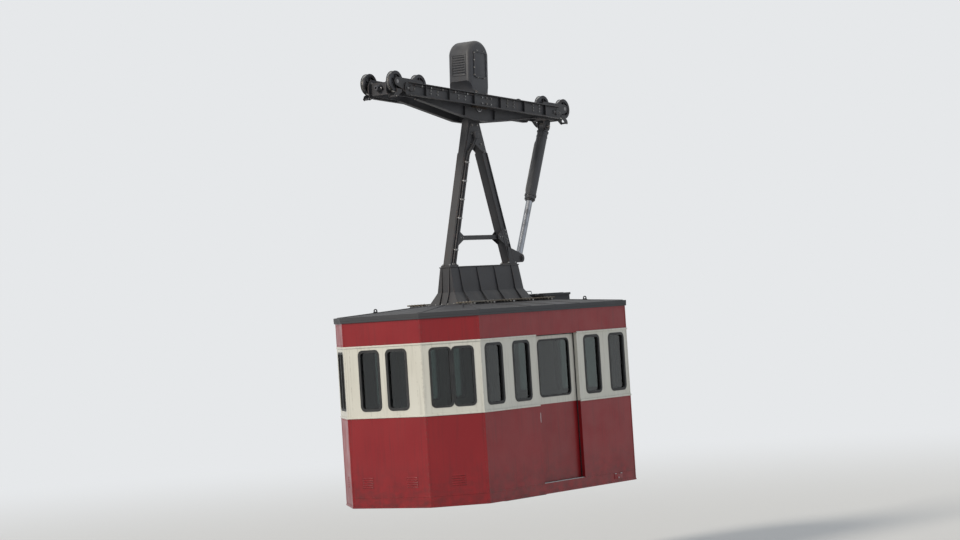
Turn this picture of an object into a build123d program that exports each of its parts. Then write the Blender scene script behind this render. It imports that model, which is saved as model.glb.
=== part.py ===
from build123d import *
from math import sqrt, hypot
import os

# Aerial tramway car: a cabin that hangs by an A-frame from a carriage on two track ropes.
# X runs along the ropes, which go down towards +X, Y runs across them and Z is up.
# The origin is on the hanger's pivot, midway between the two rope lines.

# Track ropes and haul rope
rope_slope = 4.0
rope_gauge = 420.0
track_rope_d = 44.0
haul_rope_d = 26.0

# Track wheels and rockers
wheel_tread_r = 115.0
wheel_flange_r = 140.0
wheel_width = 64.0
wheel_hub_r = 52.0
wheel_hub_width = 72.0
wheel_web = 20.0
wheel_rim_r = 98.0
wheel_seat = 24.0
wheel_lip = 8.0
wheel_base = 500.0
axle_r = 25.0
running_gap = 0.05
rocker_x = 1670.0
rocker_pin_r = 30.0
rocker_pin_z = 62.0
rocker_plate = 10.0
rocker_boss_r = 56.0
rocker_side_gap = 5.0

# Carriage beams
beam_top = 145.0
beam_bottom = -25.0
beam_plate = 12.0
beam_side_gap = 8.0
inner_beam_half = 2020.0
outer_beam_half = 1780.0
beam_end_r = 60.0
keel_depth = 185.0
keel_flat_half = 170.0
keel_taper_half = 1350.0
cross_tube_x = (-1170.0, -560.0, 560.0, 1170.0)
cross_tube_width = 110.0
cross_tube_bottom = 60.0
end_plate = 20.0

# Hanger pivot
pivot_pin_r = 45.0
pivot_hub_r = 95.0
pivot_hub_gap = 12.0
pivot_collar_r = 75.0
pivot_collar = 14.0

# Brake gear over the pivot
housing_height = 750.0
housing_length = 450.0
housing_width = 380.0
neck_length = 330.0
neck_height = 190.0
housing_edge_r = 70.0
jaw_length = 320.0
jaw_clearance = 8.0
jaw_depth = 26.0
jaw_yoke = 24.0

# Haul rope sockets
socket_length = 200.0
socket_mouth_r = 32.0
socket_base_r = 58.0
socket_z = 62.0
socket_proud = 85.0
socket_bore_clearance = 1.0

# Hanger frame
leg_width = 120.0
leg_depth = 100.0
foot_x = 680.0
head_apex_z = -270.0
pedestal_top_z = -2140.0
foot_plate = 20.0
foot_plate_length = 190.0
foot_plate_width = 150.0
tie_height = 380.0
tie_depth = 60.0
tie_width = 60.0

# Damper between the carriage's lower end and the hanger's foot
damper_pin_x = 1760.0
damper_pin_z = -110.0
bracket_length = 150.0
bracket_proud = 35.0
damper_pin_r = 25.0
damper_eye_r = 62.0
damper_side_gap = 6.0
damper_foot_x = 920.0
damper_foot_z = -2060.0
damper_foot_r = 58.0
barrel_r = 75.0
barrel_length = 1120.0
barrel_cap = 40.0
barrel_bore_r = 62.0
rod_r = 45.0
piston_start = 568.0
piston_length = 50.0
piston_gap = 1.0
neck_half = 45.0
ear = 12.0
pin_proud = 14.0

# Pedestal on the roof
pedestal_top_length = 1560.0
pedestal_top_width = 170.0
pedestal_waist_length = 1610.0
pedestal_waist_width = 270.0
pedestal_waist_height = 170.0
pedestal_base_length = 1750.0
pedestal_base_width = 490.0

# Cabin shell
cabin_length = 4520.0
cabin_width = 2340.0
cabin_chamfer = 540.0
wall = 50.0
roof_top_z = -2650.0
roof_rise = 80.0
roof_edge = 45.0
roof_overhang = 22.0
roof_flat_length = 2250.0
roof_flat_width = 860.0
upper_band_height = 345.0
window_band_height = 910.0
lower_wall_height = 1170.0
floor_height = 140.0
floor_thickness = 60.0

# Windows
corner_post = 95.0
sill_rail = 100.0
head_rail = 70.0
pane_corner_r = 45.0
pane_thickness = 6.0
end_margin = 165.0
end_mullion = 150.0
chamfer_margin = 10.0
chamfer_mullion = 30.0
side_margin = 15.0
side_mullion = 270.0
door_post = 180.0

# Sliding doors
door_opening = 960.0
door_overlap = 30.0
door_leaf = 35.0
door_gap = 6.0
door_travel = 940.0
door_pane = 720.0
door_pane_corner_r = 60.0
rail_flange = 6.0
rail_engage = 24.0
rail_depth = 60.0
rail_overrun = 40.0
door_floor_gap = 8.0

# Hatches
roof_hatch_gap = 160.0
roof_hatch_clear = 560.0
coaming = 25.0
coaming_height = 50.0
lid_thickness = 30.0
lid_overlap = 20.0
floor_hatch_clear = 600.0
floor_lid = 30.0
floor_ledge = 30.0
lid_side_gap = 5.0
hinge_barrel_r = 14.0
hinge_pin_r = 6.0
hinge_gap = 2.0
hinge_y = 190.0
knuckle = 36.0
lid_corner_r = 30.0

# Under the floor
sill_beam_width = 70.0
sill_beam_y = 560.0
middle_beam_x = 1000.0
end_beam_inset = 360.0
gear_box_x = 400.0
gear_box_length = 1000.0
gear_box_width = 520.0
gear_box_drop = 120.0
gear_box_r = 40.0

# Inside the cabin
pole_r = 18.0
pole_y = 520.0
pole_flange_r = 45.0
pole_flange = 8.0
desk_depth = 300.0
desk_width = 640.0
desk_height = 960.0
desk_slope_drop = 140.0
desk_wall = 25.0

# Worked out from the sizes above
rope_y = rope_gauge / 2
rope_r = track_rope_d / 2
axle_z = rope_r + wheel_tread_r
rocker_in = wheel_hub_width / 2 + rocker_side_gap
rocker_out = rocker_in + rocker_plate
beam_in = rocker_out + beam_side_gap
beam_out = beam_in + beam_plate
inner_plate_in = rope_y - beam_out
inner_plate_out = rope_y - beam_in
outer_plate_out = rope_y + beam_out
hub_half = inner_plate_in - pivot_hub_gap
hl = cabin_length / 2
hw = cabin_width / 2
end_beam_x = hl - end_beam_inset
coaming_half = roof_hatch_clear / 2 + coaming
roof_hatch_x = pedestal_base_length / 2 + roof_hatch_gap + lid_overlap + coaming_half
cross_beam_x = (-end_beam_x, -middle_beam_x, middle_beam_x, end_beam_x)
floor_hatch_x = -(middle_beam_x + end_beam_x) / 2
eaves_z = roof_top_z - roof_rise - roof_edge
head_z = eaves_z - upper_band_height
sill_z = head_z - window_band_height
skirt_z = sill_z - lower_wall_height
floor_z = skirt_z + floor_height
roof_base_z = eaves_z
pane_low = sill_z + sill_rail
pane_high = head_z - head_rail
leaf_out_y = hw - wall - rail_flange - door_gap
leaf_in_y = leaf_out_y - door_leaf
rail_in_y = leaf_in_y - door_gap - rail_flange


def box_between(low, high):
    size = [b - a for a, b in zip(low, high)]
    centre = [(a + b) / 2 for a, b in zip(low, high)]
    return Pos(*centre) * Box(*size)


def side_plate(outline, y_low, y_high):
    """Extrude an outline drawn in X and Z between two planes across the ropes."""
    plane = Plane(origin=(0, y_high, 0), x_dir=(1, 0, 0), z_dir=(0, -1, 0))
    return extrude(plane * outline, amount=y_high - y_low)


def hull_outline(circles, others=()):
    """Outline drawn tight around circles given as x, z and radius, and around other edges."""
    edges = list(others)
    for x, z, r in circles:
        edges += (Pos(x, z) * Circle(r)).edges()
    return make_hull(edges)


def cross_rod(r, x, z, y_low, y_high):
    """Round bar across the ropes."""
    return side_plate(Pos(x, z) * Circle(r), y_low, y_high)


def prism(points, z_low, z_high):
    """Upright prism on a plan outline."""
    face = make_face(Polyline(*points, close=True))
    return extrude(Pos(0, 0, z_low) * face, amount=z_high - z_low)


def on_slope(shape):
    """Pitch a carriage piece, drawn level, to the slope of the ropes."""
    return shape.rotate(Axis.Y, rope_slope)


def save(node, shape):
    if isinstance(shape, (list, tuple)):
        shape = Compound(children=list(shape))
    export_step(shape, f"parts/{node}.step")


os.makedirs("parts", exist_ok=True)


# Track wheels
def track_wheel():
    """Grooved wheel about the Y axis, with its tread shaped to the rope."""
    half = wheel_width / 2
    web = wheel_web / 2
    hub = wheel_hub_width / 2
    bore_r = axle_r + running_gap
    one_side = [(wheel_seat / 2, wheel_tread_r), (half - wheel_lip, wheel_flange_r), (half, wheel_flange_r),
                (half, wheel_rim_r), (web, wheel_rim_r), (web, wheel_hub_r), (hub, wheel_hub_r), (hub, bore_r)]
    face = make_face(Polyline(*one_side, *[(-y, r) for y, r in reversed(one_side)], close=True))
    upright = Plane(origin=(0, 0, 0), x_dir=(0, 1, 0), z_dir=(1, 0, 0))
    return revolve(upright * face, axis=Axis.Y)


# Rows: end of the carriage (name, side of the centre), wheel on the rocker (name, side of its pin)
ends = (("upper", -1), ("lower", 1))
sides = (("right", -1), ("left", 1))
places = (("outer", 1), ("inner", -1))


def wheel_x(end, place):
    return end * (rocker_x + place * wheel_base / 2)


for end_name, end in ends:
    for side_name, side in sides:
        for place_name, place in places:
            wheel = Pos(wheel_x(end, place), side * rope_y, axle_z) * track_wheel()
            save(f"wheel_{end_name}_{side_name}_{place_name}", on_slope(wheel))


# Rockers: two plates each side of the wheels, hung on a pin through the beam
def rocker_plates():
    plates = []
    for _, end in ends:
        outline = hull_outline([
            (wheel_x(end, -1), axle_z, rocker_boss_r),
            (wheel_x(end, 1), axle_z, rocker_boss_r),
            (end * rocker_x, rocker_pin_z, rocker_boss_r),
        ])
        holes = [(wheel_x(end, 1), axle_z, axle_r), (wheel_x(end, -1), axle_z, axle_r),
                 (end * rocker_x, rocker_pin_z, rocker_pin_r)]
        for _, side in sides:
            for low, high in ((-rocker_out, -rocker_in), (rocker_in, rocker_out)):
                plate = side_plate(outline, side * rope_y + low, side * rope_y + high)
                for x, z, r in holes:
                    plate -= cross_rod(r, x, z, side * rope_y + low - 1, side * rope_y + high + 1)
                plates.append(plate)
    return plates


def carriage_pins():
    """Wheel axles within the rockers, and rocker pins out through the beam plates."""
    pins = []
    for _, end in ends:
        for _, side in sides:
            y = side * rope_y
            for _, place in places:
                axle = cross_rod(axle_r, wheel_x(end, place), axle_z, y - rocker_out, y + rocker_out)
                pins.append(axle)
            pins.append(cross_rod(rocker_pin_r, end * rocker_x, rocker_pin_z, y - beam_out, y + beam_out))
    return pins


save("rocker_plates", [on_slope(p) for p in rocker_plates()])
save("carriage_pins", [on_slope(p) for p in carriage_pins()])


# Carriage beams
def cross_tube(x, half_width):
    return box_between((x - cross_tube_width / 2, -half_width, cross_tube_bottom),
                       (x + cross_tube_width / 2, half_width, beam_top))


def beam_cuts():
    """What passes through every beam plate: cross tubes and rocker pins."""
    cuts = [cross_tube(x, outer_plate_out + 1) for x in cross_tube_x]
    for _, end in ends:
        cuts.append(cross_rod(rocker_pin_r, end * rocker_x, rocker_pin_z,
                              -outer_plate_out - 1, outer_plate_out + 1))
    return cuts


def plain_beam_outline(half):
    middle = (beam_top + beam_bottom) / 2
    depth = beam_top - beam_bottom
    return Pos(0, middle) * RectangleRounded(2 * half, depth, beam_end_r)


def keel_outline():
    """Inner beam plate: deep in the middle, where it carries the hanger's pin."""
    keel = make_face(Polyline(
        (-keel_taper_half, beam_bottom + 1), (-keel_flat_half, -keel_depth),
        (keel_flat_half, -keel_depth), (keel_taper_half, beam_bottom + 1), close=True,
    ))
    return plain_beam_outline(inner_beam_half) + keel


def inner_beams():
    plates = []
    for _, side in sides:
        low, high = sorted((side * inner_plate_in, side * inner_plate_out))
        plate = side_plate(keel_outline(), low, high)
        for cut in beam_cuts():
            plate -= cut
        plate -= cross_rod(pivot_pin_r, 0, 0, low - 1, high + 1)
        plates.append(plate)
    return plates


def outer_beams():
    plates = []
    for _, side in sides:
        low, high = sorted((side * (rope_y + beam_in), side * outer_plate_out))
        plate = side_plate(plain_beam_outline(outer_beam_half), low, high)
        for cut in beam_cuts():
            plate -= cut
        plates.append(plate)
    return plates


def cross_members():
    """Cross tubes through all four plates, and an end plate for each haul rope socket."""
    members = [cross_tube(x, outer_plate_out) for x in cross_tube_x]
    for _, end in ends:
        near, far = sorted((end * (inner_beam_half - end_plate - beam_end_r),
                            end * (inner_beam_half - beam_end_r)))
        plate = box_between((near, -inner_plate_in, beam_bottom + 5), (far, inner_plate_in, beam_top - 5))
        members.append(plate - socket_blank(end))
    return members


# Haul rope sockets
def socket_blank(end):
    """Cone that narrows outwards, without its bore."""
    mouth_x = inner_beam_half - beam_end_r + socket_proud
    cone = make_face(Polyline(
        (mouth_x - socket_length, 0), (mouth_x - socket_length, socket_base_r),
        (mouth_x - socket_length * 0.55, socket_base_r), (mouth_x, socket_mouth_r), (mouth_x, 0), close=True,
    ))
    blank = revolve(cone, axis=Axis.X)
    if end < 0:
        blank = blank.rotate(Axis.Z, 180)
    return Pos(0, 0, socket_z) * blank


def haul_socket(end):
    mouth_x = inner_beam_half - beam_end_r + socket_proud
    bore_r = haul_rope_d / 2 + socket_bore_clearance
    bore = Pos(end * mouth_x, 0, socket_z) * Rot(0, 90, 0) * Cylinder(bore_r, 2 * (socket_length - 30))
    return socket_blank(end) - bore


save("inner_beams", [on_slope(p) for p in inner_beams()])
save("outer_beams", [on_slope(p) for p in outer_beams()])
save("cross_members", [on_slope(p) for p in cross_members()])
save("haul_rope_sockets", [on_slope(haul_socket(end)) for _, end in ends])


# Hanger pin and its collars
def pivot_pin():
    pin = cross_rod(pivot_pin_r, 0, 0, -inner_plate_out - pivot_collar, inner_plate_out + pivot_collar)
    for _, side in sides:
        low, high = sorted((side * inner_plate_out, side * (inner_plate_out + pivot_collar)))
        pin += cross_rod(pivot_collar_r, 0, 0, low, high)
    return pin


save("pivot_pin", on_slope(pivot_pin()))


# Brake gear: upright housing on the beams, and jaws that straddle each rope
def brake_housing():
    base = beam_top
    shoulder = base + neck_height
    top = base + housing_height
    half = housing_length / 2
    neck = neck_length / 2
    crown = top - half * 0.8
    outline = make_face([
        Polyline((-neck, base), (neck, base)),
        ThreePointArc((neck, base), (neck + (half - neck) * 0.3, base + neck_height * 0.6), (half, shoulder)),
        Line((half, shoulder), (half, crown)),
        ThreePointArc((half, crown), (0, top), (-half, crown)),
        Line((-half, crown), (-half, shoulder)),
        ThreePointArc((-half, shoulder), (-neck - (half - neck) * 0.3, base + neck_height * 0.6), (-neck, base)),
    ])
    body = side_plate(outline, -housing_width / 2, housing_width / 2)
    rims = body.faces().filter_by(Axis.Y).edges().filter_by(lambda e: e.center().Z > shoulder)
    return fillet(rims, housing_edge_r)


def brake_jaws():
    """Two cheeks beside each rope under a yoke, three blocks a side, clear of the rope between them."""
    blocks = []
    slot_half = rope_r + jaw_clearance
    for _, side in sides:
        y = side * rope_y
        collar = cross_rod(pivot_collar_r, 0, 0, *sorted((side * inner_plate_out,
                                                          side * (inner_plate_out + pivot_collar))))
        for y_low, y_high, z_low, z_high in (
            (y - beam_in, y - slot_half, -jaw_depth, slot_half),
            (y + slot_half, y + beam_in, -jaw_depth, slot_half),
            (y - beam_in, y + beam_in, slot_half, slot_half + jaw_yoke),
        ):
            blocks.append(box_between((-jaw_length / 2, y_low, z_low), (jaw_length / 2, y_high, z_high)) - collar)
    return blocks


save("brake_housing", on_slope(brake_housing()))
save("brake_jaws", [on_slope(j) for j in brake_jaws()])


# Damper
def damper_bracket():
    """Block between the beams at the carriage's lower end, with two ears and a pin for the barrel."""
    front = damper_pin_x - bracket_length / 2
    back = damper_pin_x + bracket_length / 2
    bracket = box_between((front, -inner_plate_in, beam_bottom), (back, inner_plate_in, beam_top + bracket_proud))
    eye_half = leg_depth / 2
    pin_half = eye_half + ear + pin_proud
    root = Pos(damper_pin_x, beam_bottom) * Rectangle(bracket_length, damper_side_gap)
    outline = hull_outline([(damper_pin_x, damper_pin_z, damper_eye_r)], root.edges())
    for _, side in sides:
        low, high = sorted((side * eye_half, side * (eye_half + ear)))
        bracket += side_plate(outline, low, high)
    return bracket + cross_rod(damper_pin_r, damper_pin_x, damper_pin_z, -pin_half, pin_half)


def damper_line():
    """Pin and foot of the damper in the frame, and the unit vector from pin to foot."""
    pin = Vector(damper_pin_x, 0, damper_pin_z).rotate(Axis.Y, rope_slope)
    foot = Vector(damper_foot_x, 0, damper_foot_z)
    return pin, foot, (foot - pin).normalized()


def along_damper(shape):
    """Place a shape, drawn downwards from its eye, on the line from pin to foot."""
    pin, _, way = damper_line()
    plane = Plane(origin=pin, x_dir=(0, 1, 0), z_dir=-way)
    return plane * shape


def down_tube(r, start, stop):
    """Round bar along -Z between two distances from the pin."""
    return Pos(0, 0, -(start + stop) / 2) * Cylinder(r, stop - start)


def damper_barrel():
    """Eye, neck, capped tube and gland, drawn along -Z from the pin."""
    eye_half = leg_depth / 2 - damper_side_gap
    start = damper_eye_r + damper_side_gap
    eye = Rot(0, 90, 0) * Cylinder(damper_eye_r - damper_side_gap, 2 * eye_half)
    neck = box_between((-eye_half, -neck_half, -start), (eye_half, neck_half, 0))
    body = eye + neck + down_tube(barrel_r, start, barrel_length)
    body -= down_tube(barrel_bore_r, start + barrel_cap, barrel_length - barrel_cap)
    body -= down_tube(rod_r + running_gap, barrel_length - barrel_cap - 1, barrel_length + 1)
    return body - Rot(0, 90, 0) * Cylinder(damper_pin_r + running_gap, 4 * eye_half)


def damper_rod():
    """Piston, rod and eye, drawn along -Z from the pin."""
    pin, foot, _ = damper_line()
    length = (foot - pin).length
    eye_half = leg_depth / 2 - damper_side_gap
    piston = down_tube(barrel_bore_r - piston_gap, piston_start, piston_start + piston_length)
    rod = down_tube(rod_r, piston_start, length)
    eye = Pos(0, 0, -length) * Rot(0, 90, 0) * Cylinder(damper_foot_r, 2 * eye_half)
    return rod + piston + eye


save("damper_bracket", on_slope(damper_bracket()))
save("damper_barrel", along_damper(damper_barrel()))
save("damper_rod", along_damper(damper_rod()))


# Hanger
def leg_centre_x(z):
    """Centre line of a leg between the head and its foot."""
    return foot_x * z / (pedestal_top_z + foot_plate)


def hanger_leg(side):
    top_z = head_apex_z * 0.55
    low_z = pedestal_top_z + foot_plate
    half = leg_width / 2 * hypot(1, foot_x / low_z)
    outline = make_face(Polyline(
        (side * (leg_centre_x(top_z) - half), top_z), (side * (leg_centre_x(top_z) + half), top_z),
        (side * (leg_centre_x(low_z) + half), low_z), (side * (leg_centre_x(low_z) - half), low_z), close=True,
    ))
    return side_plate(outline, -leg_depth / 2, leg_depth / 2)


def hanger_head():
    """Bearing tube on the pivot pin, and the tapered block that the legs grow from."""
    cheeks = side_plate(hull_outline([(0, 0, pivot_hub_r), (0, head_apex_z, 70)]), -leg_depth / 2, leg_depth / 2)
    hub = cross_rod(pivot_hub_r, 0, 0, -hub_half, hub_half)
    hole = cross_rod(pivot_pin_r + running_gap, 0, 0, -hub_half - 1, hub_half + 1)
    return cheeks + hub - hole


def hanger_frame():
    """Head, two legs, a tie above the pedestal and foot plates, welded into one piece."""
    frame = hanger_head()
    for side in (-1, 1):
        frame += hanger_leg(side)
        frame += box_between(
            (side * foot_x - foot_plate_length / 2, -foot_plate_width / 2, pedestal_top_z),
            (side * foot_x + foot_plate_length / 2, foot_plate_width / 2, pedestal_top_z + foot_plate))
    tie_z = pedestal_top_z + tie_height
    reach = abs(leg_centre_x(tie_z))
    frame += box_between((-reach, -tie_width / 2, tie_z - tie_depth / 2), (reach, tie_width / 2, tie_z + tie_depth / 2))
    frame -= cross_rod(pivot_pin_r + running_gap, 0, 0, -hub_half - 1, hub_half + 1)
    return frame


def damper_foot_ears():
    """Two ears on the sides of the lower leg, with a bolt head on each."""
    ears = []
    low_z = pedestal_top_z + foot_plate
    for _, side in sides:
        inner, outer = side * leg_depth / 2, side * (leg_depth / 2 + ear)
        outline = make_face(Polyline(
            (foot_x - 55, low_z), (foot_x + 95, low_z), (damper_foot_x, damper_foot_z - damper_foot_r),
            (damper_foot_x, damper_foot_z + damper_foot_r), (foot_x - 90, low_z + 230), close=True,
        )) + Pos(damper_foot_x, damper_foot_z) * Circle(damper_foot_r)
        plate = side_plate(outline, *sorted((inner, outer)))
        head = cross_rod(32, damper_foot_x, damper_foot_z, *sorted((outer, outer + side * 16)))
        ears.append(plate + head)
    return ears


save("hanger_frame", hanger_frame())
save("damper_foot_ears", damper_foot_ears())


# Pedestal: flared box between hanger feet and roof
def pedestal():
    rows = (
        (roof_top_z, pedestal_base_length, pedestal_base_width),
        (roof_top_z + pedestal_waist_height, pedestal_waist_length, pedestal_waist_width),
        (pedestal_top_z, pedestal_top_length, pedestal_top_width),
    )
    return loft([Pos(0, 0, z) * Rectangle(length, width) for z, length, width in rows], ruled=True)


save("pedestal", pedestal())


# Cabin plan
def plan_points(inset):
    """Corners of the cabin's outline, moved inwards, anticlockwise from the +X end."""
    x = hl - inset
    y = hw - inset
    c = cabin_chamfer - inset * (2 - sqrt(2))
    return [(x, -(y - c)), (x, y - c), (x - c, y), (-(x - c), y),
            (-x, y - c), (-x, -(y - c)), (-(x - c), -y), (x - c, -y)]


outer_plan = plan_points(0)
inner_plan = plan_points(wall)
facet_kinds = ("end", "chamfer", "side", "chamfer", "end", "chamfer", "side", "chamfer")


def facet_ends(i, plan):
    return plan[i], plan[(i + 1) % len(plan)]


def facet_frame(i):
    """Plane on the outside of a facet: local X along it, local Y up, local Z outwards, and its length."""
    (x0, y0), (x1, y1) = facet_ends(i, outer_plan)
    length = hypot(x1 - x0, y1 - y0)
    way = ((x1 - x0) / length, (y1 - y0) / length, 0)
    out = (way[1], -way[0], 0)
    plane = Plane(origin=((x0 + x1) / 2, (y0 + y1) / 2, 0), x_dir=way, z_dir=out)
    return plane, length


def facet_slab(i, z_low, z_high):
    """Full-thickness wall over a whole facet, mitred at its corners."""
    a, b = facet_ends(i, outer_plan)
    c, d = facet_ends(i, inner_plan)
    return prism([a, b, d, c], z_low, z_high)


def facets(kind):
    return [i for i, k in enumerate(facet_kinds) if k == kind]


# Lower walls and the band above the windows
doorway = box_between((-door_opening / 2, -hw - 5, floor_z), (door_opening / 2, hw + 5, head_z))

save("lower_panels_end", [facet_slab(i, skirt_z, sill_z) for i in facets("end")])
save("lower_panels_chamfer", [facet_slab(i, skirt_z, sill_z) for i in facets("chamfer")])


def lower_side_panels():
    panels = []
    for i in facets("side"):
        slab = facet_slab(i, floor_z, sill_z) - doorway
        panels += slab.solids()
    return panels


save("lower_panels_side", lower_side_panels())
save("side_skirts", [facet_slab(i, skirt_z, floor_z) for i in facets("side")])
save("upper_band_ends", [facet_slab(i, head_z, eaves_z) for i in facets("end")])
save("upper_band_chamfers", [facet_slab(i, head_z, eaves_z) for i in facets("chamfer")])
save("upper_band_sides", [facet_slab(i, head_z, eaves_z) for i in facets("side")])


# Corner posts beside the windows
def toward(a, b, distance):
    length = hypot(b[0] - a[0], b[1] - a[1])
    return a[0] + (b[0] - a[0]) * distance / length, a[1] + (b[1] - a[1]) * distance / length


def square_in(i, point):
    """Point on the inner face, square across the wall from a point on the outer face of a facet."""
    plane, _ = facet_frame(i)
    return point[0] - plane.z_dir.X * wall, point[1] - plane.z_dir.Y * wall


def corner_posts():
    posts = []
    count = len(outer_plan)
    for i in range(count):
        corner = outer_plan[i]
        ahead = toward(corner, outer_plan[(i + 1) % count], corner_post)
        behind = toward(corner, outer_plan[i - 1], corner_post)
        outline = [corner, ahead, square_in(i, ahead), inner_plan[i], square_in((i - 1) % count, behind), behind]
        posts.append(prism(outline, sill_z, head_z))
    return posts


save("corner_posts", corner_posts())


# Window frames and glass. Each span: facet, start and end along it, centre and width of each pane
pane_gaps = {"end": (end_margin, end_mullion), "chamfer": (chamfer_margin, chamfer_mullion)}


def window_spans(kind):
    spans = []
    for i in facets(kind):
        _, length = facet_frame(i)
        reach = length / 2 - corner_post
        if kind == "side":
            clear = reach - side_margin - door_opening / 2 - door_post
            pane = (clear - side_mullion) / 2
            first = door_opening / 2 + door_post + pane / 2
            second = first + pane + side_mullion
            for s in (-1, 1):
                start, stop = sorted((s * door_opening / 2, s * reach))
                spans.append((i, start, stop, ((s * first, pane), (s * second, pane))))
        else:
            margin, mullion = pane_gaps[kind]
            pane = reach - margin - mullion / 2
            middle = (pane + mullion) / 2
            spans.append((i, -reach, reach, ((-middle, pane), (middle, pane))))
    return spans


def pane_outline(centre, width, corner_r):
    return Pos(centre, (pane_low + pane_high) / 2) * RectangleRounded(width, pane_high - pane_low, corner_r)


def window_frame(span):
    i, start, stop, panes = span
    plane, _ = facet_frame(i)
    sheet = Pos((start + stop) / 2, (sill_z + head_z) / 2) * Rectangle(stop - start, head_z - sill_z)
    for centre, width in panes:
        sheet -= pane_outline(centre, width, pane_corner_r)
    return extrude(plane * sheet, amount=-wall)


def window_panes(span):
    i, _, _, panes = span
    plane, _ = facet_frame(i)
    middle = plane.offset(-(wall - pane_thickness) / 2)
    return [extrude(middle * pane_outline(centre, width, pane_corner_r), amount=-pane_thickness)
            for centre, width in panes]


glass = []
for kind in ("end", "chamfer", "side"):
    spans = window_spans(kind)
    save(f"window_frames_{kind}", [window_frame(span) for span in spans])
    for span in spans:
        glass += window_panes(span)
save("window_glass", glass)


# Roof, with a flat middle that carries the pedestal, and a hatch
def octagon(length, width, chamfer):
    x, y, c = length / 2, width / 2, chamfer
    return make_face(Polyline(
        (x, -(y - c)), (x, y - c), (x - c, y), (-(x - c), y),
        (-x, y - c), (-x, -(y - c)), (-(x - c), -y), (x - c, -y), close=True,
    ))


hatch_hole = box_between((roof_hatch_x - roof_hatch_clear / 2, -roof_hatch_clear / 2, roof_base_z - 50),
                         (roof_hatch_x + roof_hatch_clear / 2, roof_hatch_clear / 2, roof_top_z + 200))
coaming_block = box_between((roof_hatch_x - coaming_half, -coaming_half, roof_base_z),
                            (roof_hatch_x + coaming_half, coaming_half, roof_top_z + coaming_height))


def roof_panel():
    chamfer = cabin_chamfer + roof_overhang * (2 - sqrt(2))
    edge = octagon(cabin_length + 2 * roof_overhang, cabin_width + 2 * roof_overhang, chamfer)
    flat = octagon(roof_flat_length, roof_flat_width, roof_flat_width * 0.3)
    rim = extrude(Pos(0, 0, roof_base_z) * edge, amount=roof_edge)
    crown = loft([Pos(0, 0, roof_base_z + roof_edge) * edge, Pos(0, 0, roof_top_z) * flat], ruled=True)
    return rim + crown - coaming_block


# Hinges of the hatches: the lid's knuckle turns on a pin between two fixed knuckles
def fixed_knuckles(x, z, pad):
    """Fixed halves of both hinges of a hatch; the pad is a box in X and Z that joins them to their carrier."""
    (pad_x0, pad_z0), (pad_x1, pad_z1) = pad
    pieces = []
    for y in (-hinge_y, hinge_y):
        for low, high in ((y - knuckle * 1.5, y - knuckle / 2 - hinge_gap),
                          (y + knuckle / 2 + hinge_gap, y + knuckle * 1.5)):
            pieces.append(cross_rod(hinge_barrel_r, x, z, low, high)
                          + box_between((pad_x0, low, pad_z0), (pad_x1, high, pad_z1)))
        pieces.append(cross_rod(hinge_pin_r, x, z, y - knuckle * 1.5, y + knuckle * 1.5))
    return pieces


def lid_knuckles(x, z, pad):
    (pad_x0, pad_z0), (pad_x1, pad_z1) = pad
    pieces = []
    for y in (-hinge_y, hinge_y):
        low, high = y - knuckle / 2, y + knuckle / 2
        turn = cross_rod(hinge_barrel_r, x, z, low, high) + box_between((pad_x0, low, pad_z0), (pad_x1, high, pad_z1))
        pieces.append(turn - cross_rod(hinge_pin_r + running_gap, x, z, low - 1, high + 1))
    return pieces


lid_low = roof_top_z + coaming_height
lid_edge_x = roof_hatch_x + coaming_half + lid_overlap
roof_hinge_x = lid_edge_x + hinge_barrel_r + hinge_gap


def roof_hatch_coaming():
    pad = ((roof_hatch_x + coaming_half, lid_low - hinge_barrel_r), (roof_hinge_x, lid_low - hinge_gap))
    frame = coaming_block - hatch_hole
    return frame.fuse(*fixed_knuckles(roof_hinge_x, lid_low, pad))


def roof_hatch_lid():
    half = coaming_half + lid_overlap
    lid = box_between((roof_hatch_x - half, -half, lid_low), (lid_edge_x, half, lid_low + lid_thickness))
    lid = fillet(lid.edges().filter_by(Axis.Z), lid_corner_r)
    pad = ((lid_edge_x - hinge_barrel_r, lid_low), (roof_hinge_x, lid_low + hinge_barrel_r))
    return lid.fuse(*lid_knuckles(roof_hinge_x, lid_low, pad))


save("roof_panel", roof_panel())
save("roof_hatch_coaming", roof_hatch_coaming())
save("roof_hatch_lid", roof_hatch_lid())


# Floor, its hatch and the frame under it
floor_hole_half = floor_hatch_clear / 2
lid_seat_half = floor_hole_half + floor_ledge
floor_hinge_x = floor_hatch_x - lid_seat_half
floor_hinge_z = floor_z + hinge_barrel_r


def floor_box(half, z_low, z_high):
    return box_between((floor_hatch_x - half, -half, z_low), (floor_hatch_x + half, half, z_high))


def floor_panel():
    panel = prism(inner_plan, floor_z - floor_thickness, floor_z)
    panel -= floor_box(floor_hole_half, floor_z - floor_thickness - 1, floor_z + 1)
    panel -= floor_box(lid_seat_half, floor_z - floor_lid, floor_z + 1)
    pad = ((floor_hinge_x - hinge_barrel_r, floor_z), (floor_hinge_x, floor_hinge_z))
    return panel.fuse(*fixed_knuckles(floor_hinge_x, floor_hinge_z, pad))


def floor_hatch_lid():
    lid = floor_box(lid_seat_half - lid_side_gap, floor_z - floor_lid, floor_z)
    pad = ((floor_hinge_x, floor_z), (floor_hinge_x + 2 * hinge_barrel_r, floor_hinge_z))
    return lid.fuse(*lid_knuckles(floor_hinge_x, floor_hinge_z, pad))


save("floor_panel", floor_panel())
save("floor_hatch_lid", floor_hatch_lid())


underframe_top = floor_z - floor_thickness


def sill_beams():
    """Two long beams under the floor panel, out to the last cross beams."""
    reach = max(cross_beam_x) + sill_beam_width / 2
    return [box_between((-reach, s * sill_beam_y - sill_beam_width / 2, skirt_z),
                        (reach, s * sill_beam_y + sill_beam_width / 2, underframe_top)) for s in (-1, 1)]


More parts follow.
